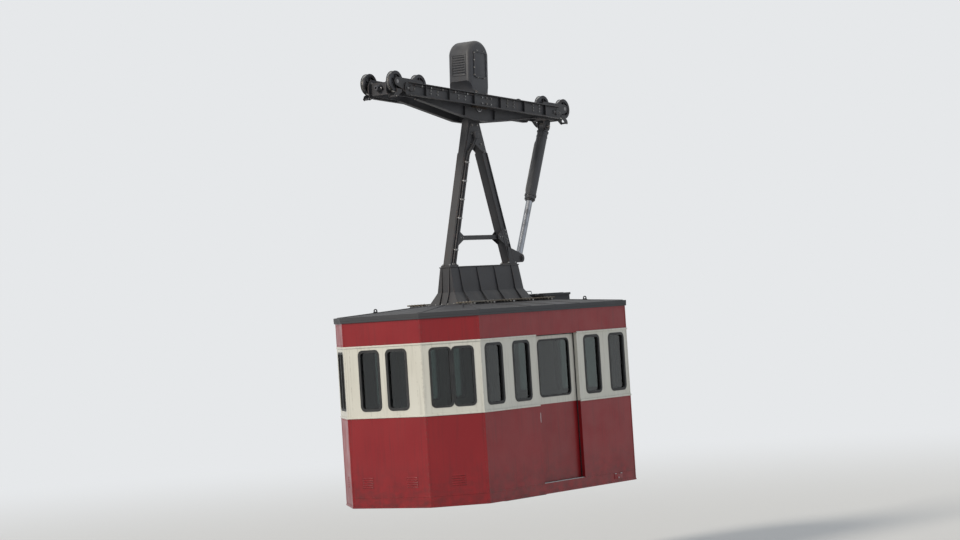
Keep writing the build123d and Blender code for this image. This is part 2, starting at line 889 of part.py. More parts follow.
def cross_beams():
    """Cross beams between the long beams, and from them out to the walls."""
    inner = sill_beam_y - sill_beam_width / 2
    outer = sill_beam_y + sill_beam_width / 2
    beams = []
    for x in cross_beam_x:
        corner_reach = hl + hw - cabin_chamfer - wall * sqrt(2) - abs(x) - sill_beam_width / 2
        wall_y = min(hw - wall, corner_reach)
        for y_low, y_high in ((-wall_y, -outer), (-inner, inner), (outer, wall_y)):
            beams.append(box_between((x - sill_beam_width / 2, y_low, skirt_z),
                                     (x + sill_beam_width / 2, y_high, underframe_top)))
    return beams


def under_floor_box():
    box = box_between((gear_box_x - gear_box_length / 2, -gear_box_width / 2, skirt_z - gear_box_drop),
                      (gear_box_x + gear_box_length / 2, gear_box_width / 2, underframe_top))
    box = fillet(box.edges().filter_by(Axis.Z), gear_box_r)
    return fillet(box.faces().sort_by(Axis.Z)[0].edges(), gear_box_r / 2)


save("under_floor_box", under_floor_box())
save("sill_beams", sill_beams())
save("cross_beams", cross_beams())


# Sliding doors: the right door opens towards +X and the left one towards -X
def door_solids(side):
    """Leaf and pane of one door, closed, inside the wall of that side."""
    low_y, high_y = sorted((side * leaf_in_y, side * leaf_out_y))
    half = door_opening / 2 + door_overlap
    bottom = floor_z + door_floor_gap
    top = head_z + door_overlap + rail_engage
    sheet = Pos(0, (bottom + top) / 2) * Rectangle(2 * half, top - bottom)
    opening = pane_outline(0, door_pane, door_pane_corner_r)
    leaf = side_plate(sheet - opening, low_y, high_y)
    middle = (low_y + high_y) / 2
    pane = side_plate(opening, middle - pane_thickness / 2, middle + pane_thickness / 2)
    return leaf, pane


def channel(side, x_low, x_high, z_low, z_high, web_up):
    """Rail with two flanges that hold a door's edge, its web above or below."""
    y_wall = side * (hw - wall)
    y_in = side * rail_in_y
    block = box_between((x_low, min(y_wall, y_in), z_low), (x_high, max(y_wall, y_in), z_high))
    slot_y = sorted((side * (leaf_out_y + door_gap), side * (leaf_in_y - door_gap)))
    slot_z = (z_low - 1, z_high - rail_flange) if web_up else (z_low + rail_flange, z_high + 1)
    slot = box_between((x_low - 1, slot_y[0], slot_z[0]), (x_high + 1, slot_y[1], slot_z[1]))
    return block - slot


def door_rails():
    rails = []
    half = door_opening / 2 + door_overlap
    for _, side in sides:
        travel = -side * door_travel
        x_low = min(-half, -half + travel) - rail_overrun
        x_high = max(half, half + travel) + rail_overrun
        top = head_z + door_overlap
        rails.append(channel(side, x_low, x_high, top, top + rail_depth, True))
    return rails


for side_name, side in sides:
    leaf, pane = door_solids(side)
    save(f"door_leaf_{side_name}", leaf)
    save(f"door_glass_{side_name}", pane)
save("door_rails", door_rails())


# Inside: grab poles and the attendant's desk
def grab_poles():
    poles = []
    for x in (-middle_beam_x, middle_beam_x):
        for y in (-pole_y, pole_y):
            height = eaves_z - floor_z
            pole = Pos(x, y, floor_z + height / 2) * Cylinder(pole_r, height)
            foot = Pos(x, y, floor_z + pole_flange / 2) * Cylinder(pole_flange_r, pole_flange)
            cap = Pos(x, y, eaves_z - pole_flange / 2) * Cylinder(pole_flange_r, pole_flange)
            poles.append(pole + foot + cap)
    return poles


def control_desk():
    """Hollow desk against the +X end wall, its top sloped towards the attendant and its back open to the wall."""
    back = hl - wall
    front = back - desk_depth
    top = floor_z + desk_height
    outline = make_face(Polyline(
        (front + 60, floor_z), (back, floor_z), (back, top), (back - 60, top), (front, top - desk_slope_drop),
        (front, top - desk_slope_drop - 60), (front + 60, top - desk_slope_drop - 120), close=True,
    ))
    half = desk_width / 2
    hollow = side_plate(offset(outline, -desk_wall, kind=Kind.INTERSECTION), desk_wall - half, half - desk_wall)
    return side_plate(outline, -half, half) - hollow - Pos(desk_wall, 0, 0) * hollow


save("grab_poles", grab_poles())
save("control_desk", control_desk())
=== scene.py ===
from itertools import product
from math import cos, hypot, pi, radians, sin, sqrt

import bmesh
import bpy
from mathutils import Matrix, Vector


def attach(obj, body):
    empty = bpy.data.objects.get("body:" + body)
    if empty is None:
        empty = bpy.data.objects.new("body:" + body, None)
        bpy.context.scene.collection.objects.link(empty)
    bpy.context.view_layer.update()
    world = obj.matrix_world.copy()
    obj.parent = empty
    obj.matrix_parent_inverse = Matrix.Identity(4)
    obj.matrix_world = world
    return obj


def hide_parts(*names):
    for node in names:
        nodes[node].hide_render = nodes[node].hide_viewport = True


# Looks of an aerial tramway car: an eight-sided cabin under an A-frame and a wheeled carriage.
# Metres, X down the ropes, Y across them, Z up, with the hanger's pivot at the origin.

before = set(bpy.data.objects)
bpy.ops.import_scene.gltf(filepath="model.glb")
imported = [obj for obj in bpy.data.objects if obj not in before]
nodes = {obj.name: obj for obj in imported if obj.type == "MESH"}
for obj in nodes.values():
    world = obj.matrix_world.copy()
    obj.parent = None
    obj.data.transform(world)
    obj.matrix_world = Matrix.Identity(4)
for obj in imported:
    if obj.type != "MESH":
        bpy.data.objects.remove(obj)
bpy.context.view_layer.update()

# Carriage, drawn level and then pitched to the ropes
rope_pitch = radians(4)
rope_y = 0.210
axle_z = 0.137
rocker_x = 1.670
rocker_pin_z = 0.062
wheel_base = 0.500
beam_top = 0.145
beam_bottom = -0.025
inner_plate_in = 0.139
inner_plate_out = 0.151
outer_plate_in = 0.269
outer_plate_out = 0.281
keel_z = -0.185
keel_flat = 0.170
keel_reach = 1.350
outer_beam_half = 1.780
cross_tube_x = (-1.170, -0.560, 0.560, 1.170)
pivot_end = 0.165
housing_half = 0.225
housing_side = 0.190
damper_pin = (1.760, -0.110)
socket_z = 0.062

# Hanger, pedestal and damper
foot_x = 0.680
foot_z = -2.120
leg_half = 0.060
leg_side = 0.050
tie_z = -1.760
damper_foot = (0.920, -2.060)

# Cabin
cabin_half_x = 2.260
cabin_half_y = 1.170
corner_cut = 0.540
wall = 0.050
roof_top = -2.650
roof_edge_top = -2.730
roof_overhang = 0.022
roof_flat_half = (1.125, 0.430, 0.258)
eaves = -2.775
head = -3.120
sill = -4.030
floor = -5.060
skirt = -5.200
pane_low = -3.930
pane_high = -3.190
pane_corner_r = 0.045
door_pane = 0.720
door_pane_corner_r = 0.060
corner_post = 0.095
door_half = 0.480
leaf_out_y = 1.108
leaf_in_y = 1.073
pedestal_rows = ((-2.650, 0.875, 0.245), (-2.480, 0.805, 0.135), (-2.140, 0.780, 0.085))
roof_hatch_x = 1.360
floor_hatch_x = -1.450
floor_hatch_half = 0.300
studio_floor_z = -6.400

# Camera at the photograph's angle: from the uphill end and the right side, level with the eaves
camera_azimuth = radians(-54.2)
camera_distance = 36
camera_z = -2.76
camera_aim_z = -2.20
camera_roll = radians(-3.7)

# Signs of what is made on both sides or at both ends, and the carriage's turn to the ropes
both = (-1, 1)
pitched = Matrix.Rotation(rope_pitch, 4, "Y")


def move(x, y, z):
    return Matrix.Translation((x, y, z))


def turn(degrees, axis):
    return Matrix.Rotation(radians(degrees), 4, axis)


def link(name, data):
    """A new object, linked into the scene."""
    made = bpy.data.objects.new(name, data)
    bpy.context.scene.collection.objects.link(made)
    return made


def make_camera():
    lens = bpy.data.cameras.new("camera")
    lens.lens = 100
    lens.clip_end = 400
    camera = link("camera", lens)
    x, y = sin(camera_azimuth) * camera_distance, -cos(camera_azimuth) * camera_distance
    place = Vector((x, y, camera_z))
    aim = (Vector((0, 0, camera_aim_z)) - place).to_track_quat("-Z", "Y").to_matrix().to_4x4()
    camera.matrix_world = Matrix.Translation(place) @ aim @ Matrix.Rotation(camera_roll, 4, "Z")
    bpy.context.scene.camera = camera


make_camera()


# Materials
even = (1, 1, 1)


def colour(code):
    """An sRGB hex colour as linear RGBA."""
    channels = [int(code[i:i + 2], 16) / 255 for i in (1, 3, 5)]
    return tuple(c / 12.92 if c <= 0.04045 else ((c + 0.055) / 1.055) ** 2.4 for c in channels) + (1.0,)


def set_inputs(tree, node, inputs):
    """Link or set a node's inputs by name or number, colours from their hex code."""
    for key, value in inputs.items():
        if isinstance(value, bpy.types.NodeSocket):
            tree.links.new(value, node.inputs[key])
        else:
            node.inputs[key].default_value = colour(value) if isinstance(value, str) else value


def add_node(tree, kind, inputs=None, output=0, **settings):
    """Add a node with its settings and inputs, and give one of its outputs."""
    made = tree.nodes.new("ShaderNode" + kind)
    for key, value in settings.items():
        setattr(made, key, value)
    set_inputs(tree, made, inputs or {})
    return made.outputs[output]


def start_material(name):
    """A new material's node tree with its surface shader, and the object's coordinates."""
    material = bpy.data.materials.new(name)
    material.use_nodes = True
    tree = material.node_tree
    return material, tree, tree.nodes["Principled BSDF"], add_node(tree, "TexCoord", output="Object")


def blotches(tree, place, stretch, scale, low, high, detail=4.0):
    """Mask from 0 to 1 of soft patches, spaced by the scale and the stretch along each axis."""
    mapped = add_node(tree, "Mapping", {"Vector": place, "Scale": stretch})
    noise = add_node(tree, "TexNoise", {"Vector": mapped, "Scale": scale, "Detail": detail})
    return add_node(tree, "MapRange", {"Value": noise, "From Min": low, "From Max": high})


def worn_edges(tree, place, width, low, high):
    """Mask of rubbed outer edges, broken up by patches."""
    rounded = add_node(tree, "Bevel", {"Radius": width}, samples=4)
    flat = add_node(tree, "NewGeometry", output="Normal")
    facing = add_node(tree, "VectorMath", {0: rounded, 1: flat}, "Value", operation="DOT_PRODUCT")
    edge = add_node(tree, "MapRange", {"Value": facing, "From Min": 0.995, "From Max": 0.90})
    patches = blotches(tree, place, even, 22.0, low, high, 6.0)
    return add_node(tree, "Math", {0: edge, 1: patches}, operation="MULTIPLY")


def mix_colour(tree, mask, a, b, strength=1.0):
    """Blend from colour a to colour b where the mask is high."""
    scaled = add_node(tree, "Math", {0: mask, 1: strength}, operation="MULTIPLY")
    return add_node(tree, "Mix", {0: scaled, 6: a, 7: b}, 2, data_type="RGBA")


def upward(tree):
    """Mask of faces that look up, where dust and snowmelt dry."""
    normal = add_node(tree, "NewGeometry", output="Normal")
    height = add_node(tree, "SeparateXYZ", {0: normal}, "Z")
    return add_node(tree, "MapRange", {"Value": height, "From Min": 0.25, "From Max": 0.9})


def inside_cabin(tree, place):
    """Mask of the walls' inner faces and all that lies within them, from the eight-sided plan."""
    skin = 0.047
    reach = cabin_half_x + cabin_half_y - corner_cut - skin * sqrt(2)
    bare = add_node(tree, "VectorMath", {0: place}, operation="ABSOLUTE")
    split = add_node(tree, "SeparateXYZ", {0: bare}).node.outputs
    x, y = split["X"], split["Y"]
    along_x = add_node(tree, "Math", {0: x, 1: cabin_half_x - skin}, operation="SUBTRACT")
    across = add_node(tree, "Math", {0: y, 1: cabin_half_y - skin}, operation="SUBTRACT")
    total = add_node(tree, "Math", {0: x, 1: y}, operation="ADD")
    corner = add_node(tree, "Math", {0: total, 1: reach}, operation="SUBTRACT")
    nearest = add_node(tree, "Math", {0: along_x, 1: across}, operation="MAXIMUM")
    nearest = add_node(tree, "Math", {0: nearest, 1: corner}, operation="MAXIMUM")
    return add_node(tree, "Math", {0: nearest, 1: 0.0}, operation="LESS_THAN")


def height_mask(tree, place, low, high):
    """Mask that rises from 0 to 1 between two heights."""
    z = add_node(tree, "SeparateXYZ", {0: place}, "Z")
    return add_node(tree, "MapRange", {"Value": z, "From Min": low, "From Max": high})


def coach_enamel(name, paint, faded, grime, undercoat, lining=None, band=None, roughness=0.30):
    """Brushed oil enamel on steel sheet: uneven gloss, run-off streaks, and grime towards the bottom."""
    material, tree, surface, place = start_material(name)
    tone = mix_colour(tree, blotches(tree, place, (1, 1, 0.6), 1.6, 0.40, 0.72), paint, faded, 0.55)
    if band:
        low = height_mask(tree, place, sill - 0.002, sill + 0.002)
        high = height_mask(tree, place, head + 0.002, head - 0.002)
        in_band = add_node(tree, "Math", {0: low, 1: high}, operation="MULTIPLY")
        tone = mix_colour(tree, in_band, tone, band)
    # Melt water runs off in streaks 10 to 40 mm wide and up to a metre long
    tone = mix_colour(tree, blotches(tree, place, (14, 14, 0.7), 2.2, 0.52, 0.78, 5.0), tone, grime, 0.28)
    splashed = height_mask(tree, place, floor + 0.45, skirt)
    spotted = blotches(tree, place, (1, 1, 1.5), 9.0, 0.35, 0.75, 8.0)
    splash = add_node(tree, "Math", {0: splashed, 1: spotted}, operation="MULTIPLY")
    tone = mix_colour(tree, splash, tone, grime, 0.65)
    tone = mix_colour(tree, worn_edges(tree, place, 0.007, 0.50, 0.60), tone, undercoat, 0.85)
    if lining:
        inside = inside_cabin(tree, place)
        tone = mix_colour(tree, inside, tone, lining)
        # Below the floor the skirt's inner faces carry black underbody wax
        under = height_mask(tree, place, floor - 0.005, floor - 0.015)
        waxed = add_node(tree, "Math", {0: inside, 1: under}, operation="MULTIPLY")
        tone = mix_colour(tree, waxed, tone, "#2C2B2A")
    gloss = blotches(tree, place, even, 3.5, 0.3, 0.75)
    rough = add_node(tree, "MapRange", {"Value": gloss, "To Min": roughness, "To Max": roughness + 0.22})
    # Sheet 1.5 mm thick over ribs buckles a little, in waves about 0.4 m long
    sheet = add_node(tree, "TexNoise", {"Vector": place, "Scale": 2.4, "Detail": 1.0})
    peel = add_node(tree, "TexNoise", {"Vector": place, "Scale": 140.0, "Detail": 2.0})
    wavy = add_node(tree, "Bump", {"Height": sheet, "Distance": 0.010, "Strength": 0.5})
    bump = add_node(tree, "Bump", {"Height": peel, "Distance": 0.0006, "Strength": 0.25, "Normal": wavy})
    set_inputs(tree, surface, {"Base Color": tone, "Roughness": rough, "Normal": bump,
                               "Specular IOR Level": 0.40, "Coat Weight": 0.08, "Coat Roughness": 0.10})
    return material


def machine_paint(name, paint, dust, undercoat, rust, roughness, wear, dusting=0.55, spread=7.0):
    """Iron-mica or roof paint on welded steel: matt and grainy, with dust on top, chips and rust runs."""
    material, tree, surface, place = start_material(name)
    fading = blotches(tree, place, even, 2.6, 0.35, 0.75)
    tone = mix_colour(tree, fading, paint, dust, 0.16)
    settled = blotches(tree, place, even, spread, 0.3, 0.7, 9.0)
    dusty = add_node(tree, "Math", {0: upward(tree), 1: settled}, operation="MULTIPLY")
    tone = mix_colour(tree, dusty, tone, dust, dusting)
    tone = mix_colour(tree, blotches(tree, place, (9, 9, 1.1), 3.0, 0.60, 0.80, 6.0), tone, rust, 0.35)
    tone = mix_colour(tree, worn_edges(tree, place, 0.006, *wear), tone, undercoat, 0.9)
    rough = add_node(tree, "MapRange", {"Value": fading, "To Min": roughness, "To Max": roughness + 0.18})
    # Brush marks and mica grain, drawn at 5 mm so that they show
    grain = add_node(tree, "TexNoise", {"Vector": place, "Scale": 190.0, "Detail": 3.0})
    bump = add_node(tree, "Bump", {"Height": grain, "Distance": 0.0012, "Strength": 0.45})
    set_inputs(tree, surface, {"Base Color": tone, "Roughness": rough, "Normal": bump})
    return material


def bare_metal(name, bright, dull, roughness, stretch, scale, oily=0.0, oil="#2A2118"):
    """Cast, turned or drawn metal: a fine lay, drawn out where it runs one way, dull patches and oil."""
    material, tree, surface, place = start_material(name)
    tone = mix_colour(tree, blotches(tree, place, even, 6.0, 0.35, 0.7), bright, dull, 0.6)
    if oily:
        tone = mix_colour(tree, blotches(tree, place, (1, 1, 0.6), 11.0, 0.42, 0.7, 6.0), tone, oil, oily)
    lay = blotches(tree, place, stretch, scale, 0.3, 0.7, 2.0)
    rough = add_node(tree, "MapRange", {"Value": lay, "To Min": roughness, "To Max": roughness + 0.14})
    bump = add_node(tree, "Bump", {"Height": lay, "Distance": 0.0004, "Strength": 0.3})
    set_inputs(tree, surface, {"Base Color": tone, "Metallic": 1.0, "Roughness": rough, "Normal": bump})
    return material


def rubber(name, tone, dust, roughness=0.62, rib=0.0):
    """Moulded rubber or plastic: it greys where it weathers, and is ribbed where it is trodden on."""
    material, tree, surface, place = start_material(name)
    mixed = mix_colour(tree, blotches(tree, place, even, 5.0, 0.35, 0.75, 6.0), tone, dust, 0.45)
    mixed = mix_colour(tree, upward(tree), mixed, dust, 0.35)
    grain = add_node(tree, "TexNoise", {"Vector": place, "Scale": 260.0, "Detail": 2.0})
    bump = add_node(tree, "Bump", {"Height": grain, "Distance": 0.0008, "Strength": 0.4})
    if rib:
        # At a scale of 1 this texture's waves are pi / 10 apart
        wave = add_node(tree, "TexWave", {"Vector": place, "Scale": pi / 10 / rib, "Distortion": 0.0}, "Fac",
                        bands_direction="Y", wave_profile="SIN")
        bump = add_node(tree, "Bump", {"Height": wave, "Distance": 0.004, "Strength": 0.9, "Normal": bump})
    set_inputs(tree, surface, {"Base Color": mixed, "Roughness": roughness, "Normal": bump})
    return material


def sawn_timber(name, pale, dark, silver):
    """Larch boards left outside: silver-grey over brown, with grain along X drawn out 22 to 1."""
    material, tree, surface, place = start_material(name)
    grain = blotches(tree, place, (1, 22, 22), 5.0, 0.30, 0.70, 5.0)
    tone = mix_colour(tree, grain, pale, dark)
    tone = mix_colour(tree, blotches(tree, place, (1, 3, 3), 3.0, 0.30, 0.65, 4.0), tone, silver, 0.8)
    bump = add_node(tree, "Bump", {"Height": grain, "Distance": 0.002, "Strength": 0.5})
    set_inputs(tree, surface, {"Base Color": tone, "Roughness": 0.82, "Normal": bump})
    return material


def window_pane(name):
    """Toughened sheet glass, its grey-green tint darkened as painted shade of the cabin behind, with a film
    of dried spray in patches.
    """
    material, tree, surface, place = start_material(name)
    film = blotches(tree, place, (1, 1, 0.5), 6.0, 0.45, 0.8, 6.0)
    rough = add_node(tree, "MapRange", {"Value": film, "To Min": 0.015, "To Max": 0.10})
    wave = add_node(tree, "TexNoise", {"Vector": place, "Scale": 3.0, "Detail": 0.0})
    bump = add_node(tree, "Bump", {"Height": wave, "Distance": 0.002, "Strength": 0.15})
    # The dark grey-green base colour is painted shade: it darkens the view into the cabin
    set_inputs(tree, surface, {"Base Color": "#6A7875", "Transmission Weight": 1.0, "IOR": 1.50,
                               "Roughness": rough, "Normal": bump})
    return material


# Deep red oil enamel: rich from a step away, chalked a little in patches
red_enamel = coach_enamel("red_oil_enamel", "#7E0E16", "#8C191D", "#33191A", "#5E4A42", lining="#A9A79C")
# The same enamel in ivory white around the windows, where every streak shows
white_enamel = coach_enamel("ivory_oil_enamel", "#CBCAC0", "#BDBAAD", "#6F6B62", "#857F72",
                            lining="#A9A79C", roughness=0.34)
# Door leaves in red, with the window band carried across in ivory
door_enamel = coach_enamel("door_oil_enamel", "#7A0D14", "#88181B", "#331A1A", "#5E4A42", band="#C6C4BA")
# Plain red of the locker and the extinguisher, without the lining that the walls have inside
plain_enamel = coach_enamel("locker_oil_enamel", "#7E0E16", "#8C191D", "#33191A", "#5E4A42")
# Grey-black bituminous paint on the roof: dull, with pale drying marks where water stands
roof_coating = machine_paint("bituminous_roof_paint", "#313236", "#605F5C", "#57534C", "#423E39",
                             0.62, (0.56, 0.70), dusting=0.24, spread=1.7)
# Iron-mica paint on hanger and carriage: near black and grainy, with chips to red primer
frame_paint = machine_paint("iron_mica_paint", "#232429", "#66645F", "#5A4036", "#4A2E20",
                            0.48, (0.50, 0.62))
# The same paint on welded covers that are handled more: a shade lighter and smoother
cover_paint = machine_paint("cover_machine_paint", "#282A30", "#6D6B66", "#5C453A", "#3E2C22",
                            0.40, (0.54, 0.66))
# Turned steel of pins and springs: bright, and brown with old grease in patches
greased_steel = bare_metal("greased_turned_steel", "#9A9A9C", "#6C6A68", 0.28, even, 40.0, 0.65)
# Cast steel, rough as it left the sand, dark with oil and brake dust
cast_steel = bare_metal("sand_cast_steel", "#55565A", "#3A3A3C", 0.50, even, 90.0, 0.55)
# Hard chrome on the damper's rod: smooth along its stroke, with a film of oil
hard_chrome = bare_metal("hard_chrome_plate", "#94979C", "#6E7176", 0.27, even, 60.0, 0.45)
# Polished rope groove, where the rope keeps the steel bright
polished_steel = bare_metal("rope_polished_steel", "#B4B3B0", "#84817C", 0.20, even, 60.0, 0.25)
# Zinc-plated bolts gone grey, with a touch of rust in patches
zinc_steel = bare_metal("zinc_plated_steel", "#8E8F90", "#6B6459", 0.38, even, 80.0, 0.35, "#4A3322")
# Sintered brake lining: dull, grainy brown-grey
brake_lining = bare_metal("sintered_lining", "#5A5048", "#3C342E", 0.55, even, 120.0, 0.3)
# Satin anodised aluminium, dulled by hands and shoes
anodised = bare_metal("satin_anodised_aluminium", "#B9BABB", "#989A9C", 0.32, (40, 1, 1), 4.0)
# Ground stainless tube, its lay along the pole
stainless = bare_metal("ground_stainless_tube", "#B8BABC", "#8E9092", 0.24, (30, 30, 1), 6.0)
# Moulded rubber of gaskets and seals: matt black going grey
gasket_rubber = rubber("moulded_epdm_gasket", "#17181A", "#3B3C3C")
# Opal acrylic of the ceiling lamps' covers and the button caps
opal_cover = rubber("moulded_opal_acrylic", "#DAD9D2", "#C6C3B8", 0.35)
# Ribbed rubber flooring, its ribs along the car and 7.5 mm apart
floor_rubber = rubber("ribbed_floor_rubber", "#26282A", "#55534F", 0.66, 0.00754)
# Larch walk boards on the roof, silvered by the weather
weathered_larch = sawn_timber("silvered_larch_boards", "#6F604C", "#4A3D2F", "#77746C")
# Toughened window glass, its dark grey-green tint painted shade for the dim cabin seen through it
glass = window_pane("toughened_sheet_glass")

# Slot name of each finish that the added pieces wear
slot_finishes = {
    "dark_paint": (frame_paint, cover_paint),
    "bare_steel": (zinc_steel, polished_steel, greased_steel),
    "cast_steel": (cast_steel,),
    "floor_cover": (gasket_rubber, weathered_larch),
    "white_paint": (white_enamel, opal_cover),
    "red_paint": (red_enamel, plain_enamel),
    "roof_paint": (roof_coating,),
    "rail_alloy": (stainless, anodised),
}
slot_of = {finish: slot for slot, finishes in slot_finishes.items() for finish in finishes}

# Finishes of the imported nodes
node_finish = {
    frame_paint: ("inner_beams", "outer_beams", "cross_members", "rocker_plates", "damper_bracket",
                  "hanger_frame", "damper_foot_ears", "pedestal", "sill_beams", "cross_beams"),
    cover_paint: ("brake_housing", "damper_barrel", "under_floor_box", "control_desk"),
    greased_steel: ("carriage_pins", "pivot_pin"),
    hard_chrome: ("damper_rod",),
    cast_steel: ("haul_rope_sockets",),
    brake_lining: ("brake_jaws",),
    roof_coating: ("roof_panel", "roof_hatch_coaming", "roof_hatch_lid"),
    red_enamel: ("upper_band_ends", "upper_band_chamfers", "upper_band_sides", "lower_panels_end",
                 "lower_panels_chamfer", "lower_panels_side", "side_skirts"),
    white_enamel: ("corner_posts", "window_frames_end", "window_frames_chamfer", "window_frames_side"),
    door_enamel: ("door_leaf_right", "door_leaf_left"),
    glass: ("window_glass", "door_glass_right", "door_glass_left"),
    floor_rubber: ("floor_panel", "floor_hatch_lid"),
    anodised: ("door_rails",),
    stainless: ("grab_poles",),
}
for finish, names in node_finish.items():
    for node in names:
        nodes[node].data.materials.clear()
        nodes[node].data.materials.append(finish)


# Shapes
def block(bm, a, b, place=Matrix(), edge=0.0):
    """Box between two opposite corners, in any order, with its edges rounded if asked."""
    a, b = Vector(a), Vector(b)
    size = [abs(c) for c in b - a]
    shape = place @ Matrix.Translation((a + b) / 2) @ Matrix.Diagonal((*size, 1))
    made = bmesh.ops.create_cube(bm, size=1, matrix=shape)
    if edge:
        edges = list({e for v in made["verts"] for e in v.link_edges})
        bmesh.ops.bevel(bm, geom=edges, offset=edge, segments=2, profile=0.5, affect="EDGES", material=-1)


def along(a, b, up=(0, 0, 1)):
    """Frame at a with its Z towards b and its Y near the given direction, and the distance."""
    way = Vector(b) - Vector(a)
    z = way.normalized()
    x = Vector(up).cross(z)
    if x.length < 1e-6:
        x = Vector((1, 0, 0)).cross(z)
    x.normalize()
    return Matrix.Translation(Vector(a)) @ Matrix((x, z.cross(x), z)).transposed().to_4x4(), way.length


def rod(bm, a, b, r, segments=20, place=Matrix(), end_r=None):
    """Round bar or cone between two points."""
    base, length = along(a, b)
    bmesh.ops.create_cone(bm, cap_ends=True, cap_tris=False, segments=segments, radius1=r,
                          radius2=r if end_r is None else end_r, depth=length,
                          matrix=place @ base @ move(0, 0, length / 2))


def bar(bm, a, b, width, height, up=(0, 0, 1)):
    """Flat bar between two points, its height measured along the given direction from the line."""
    base, length = along(a, b, up)
    block(bm, (-width / 2, 0, 0), (width / 2, height, length), base)


def bolt(bm, at, way, r, place=Matrix()):
    """Hexagon head on a washer."""
    at, way = Vector(at), Vector(way).normalized()
    rod(bm, at, at + way * r * 0.25, r * 1.35, 12, place, r * 1.30)
    rod(bm, at + way * r * 0.25, at + way * r * 1.15, r, 6, place, r * 0.94)


def bolt_grid(bm, xs, ys, zs, way, r):
    """Hexagon heads at every place of a grid."""
    for at in product(xs, ys, zs):
        bolt(bm, at, way, r)


def rivet(bm, at, way, r, place=Matrix()):
    """Low round head."""
    at, way = Vector(at), Vector(way).normalized()
    rod(bm, at, at + way * r * 0.55, r, 8, place, r * 0.55)


def outline_plate(bm, points, y_low, y_high, place=Matrix()):
    """Plate with an outline of a few points in X and Z, between two planes across the ropes."""
    face = bm.faces.new([bm.verts.new(place @ Vector((x, y_low, z))) for x, z in points])
    raised = bmesh.ops.extrude_face_region(bm, geom=[face])
    far = [v for v in raised["geom"] if isinstance(v, bmesh.types.BMVert)]
    bmesh.ops.translate(bm, vec=place.to_3x3() @ Vector((0, y_high - y_low, 0)), verts=far)


def turned(bm, profile, place=Matrix(), steps=48):
    """Body of revolution about Y, from a few points as distance along the axis and radius."""
    part = bmesh.new()
    verts = [part.verts.new((0, y, r)) for y, r in profile]
    edges = [part.edges.new(pair) for pair in zip(verts, verts[1:] + verts[:1])]
    bmesh.ops.spin(part, geom=verts + edges, cent=(0, 0, 0), axis=(0, 1, 0), dvec=(0, 0, 0),
                   angle=2 * pi, steps=steps, use_merge=True)
    bmesh.ops.remove_doubles(part, verts=part.verts, dist=1e-6)
    bmesh.ops.delete(part, geom=[e for e in part.edges if not e.link_faces], context="EDGES")
    add_mesh(bm, part, place)


def ring_frame(bm, width, height, corner_r, lap, proud, sunk, place):
    """Rounded rectangular ring round an opening of the given size: it laps both ways and stands proud."""
    made = bmesh.ops.create_grid(bm, x_segments=1, y_segments=1, size=0.5,
                                 matrix=Matrix.Diagonal((width + 2 * lap, height + 2 * lap, 1, 1)))
    rounded = bmesh.ops.bevel(bm, geom=made["verts"], offset=corner_r + lap, segments=5, profile=0.5,
                              affect="VERTICES", material=-1)
    faces = rounded["faces"] + list({f for v in rounded["verts"] for f in v.link_faces})
    face = max(faces, key=lambda f: f.calc_area())
    bmesh.ops.inset_region(bm, faces=[face], thickness=2 * lap, use_even_offset=True, use_boundary=True)
    ring = list({f for e in face.edges for f in e.link_faces} - {face})
    bmesh.ops.delete(bm, geom=[face], context="FACES_ONLY")
    raised = bmesh.ops.extrude_face_region(bm, geom=ring)
    top = [v for v in raised["geom"] if isinstance(v, bmesh.types.BMVert)]
    base = list({v for f in ring for v in f.verts})
    bmesh.ops.translate(bm, vec=(0, 0, proud + sunk), verts=top)
    bmesh.ops.transform(bm, matrix=place @ move(0, 0, -sunk), verts=top + base)


def pipe(bm, points, r, place=Matrix(), sides=2):
    """Tube bent smoothly along a few points."""
    data = bpy.data.curves.new("pipe", "CURVE")
    data.dimensions = "3D"
    data.bevel_depth = r
    data.bevel_resolution = sides
    data.use_fill_caps = True
    spline = data.splines.new("NURBS")
    spline.points.add(len(points) - 1)
    for point, at in zip(spline.points, points):
        point.co = (*(place @ Vector(at)), 1)
    spline.order_u = 3
    spline.use_endpoint_u = True
    spline.resolution_u = 6
    holder = link("pipe", data)
    bpy.context.view_layer.update()
    mesh = bpy.data.meshes.new_from_object(holder.evaluated_get(bpy.context.evaluated_depsgraph_get()))
    part = bmesh.new()
    part.from_mesh(mesh)
    bmesh.ops.remove_doubles(part, verts=part.verts, dist=1e-6)
    add_mesh(bm, part, Matrix())
    bpy.data.objects.remove(holder)
    bpy.data.curves.remove(data)
    bpy.data.meshes.remove(mesh)


def add_mesh(bm, part, place):
    """Add one mesh to another at a place, and free it."""
    bmesh.ops.transform(part, matrix=place, verts=part.verts)
    mesh = bpy.data.meshes.new("part")
    part.to_mesh(mesh)
    part.free()
    bm.from_mesh(mesh)
    bpy.data.meshes.remove(mesh)


def finish_piece(bm, name, body, finish, place=Matrix(), slot=None, edge=0.0, replaces=()):
    """Turn the mesh into an object that rides on a body, smooth but for edges sharper than 35 degrees."""
    sharp = radians(35)
    slot = slot or slot_of[finish]
    bmesh.ops.transform(bm, matrix=place, verts=bm.verts)
    bmesh.ops.recalc_face_normals(bm, faces=bm.faces)
    for f in bm.faces:
        f.smooth = True
    for e in bm.edges:
        e.smooth = len(e.link_faces) != 2 or e.calc_face_angle(pi) < sharp
    mesh = bpy.data.meshes.new(name)
    bm.to_mesh(mesh)
    bm.free()
    mesh.materials.append(finish)
    piece = link(name, mesh)
    if edge:
        rounding = piece.modifiers.new("edges", "BEVEL")
        rounding.width = edge
        rounding.segments = 2
        rounding.limit_method = "ANGLE"
        rounding.angle_limit = sharp
    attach(piece, body)
    if replaces:
        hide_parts(*replaces)


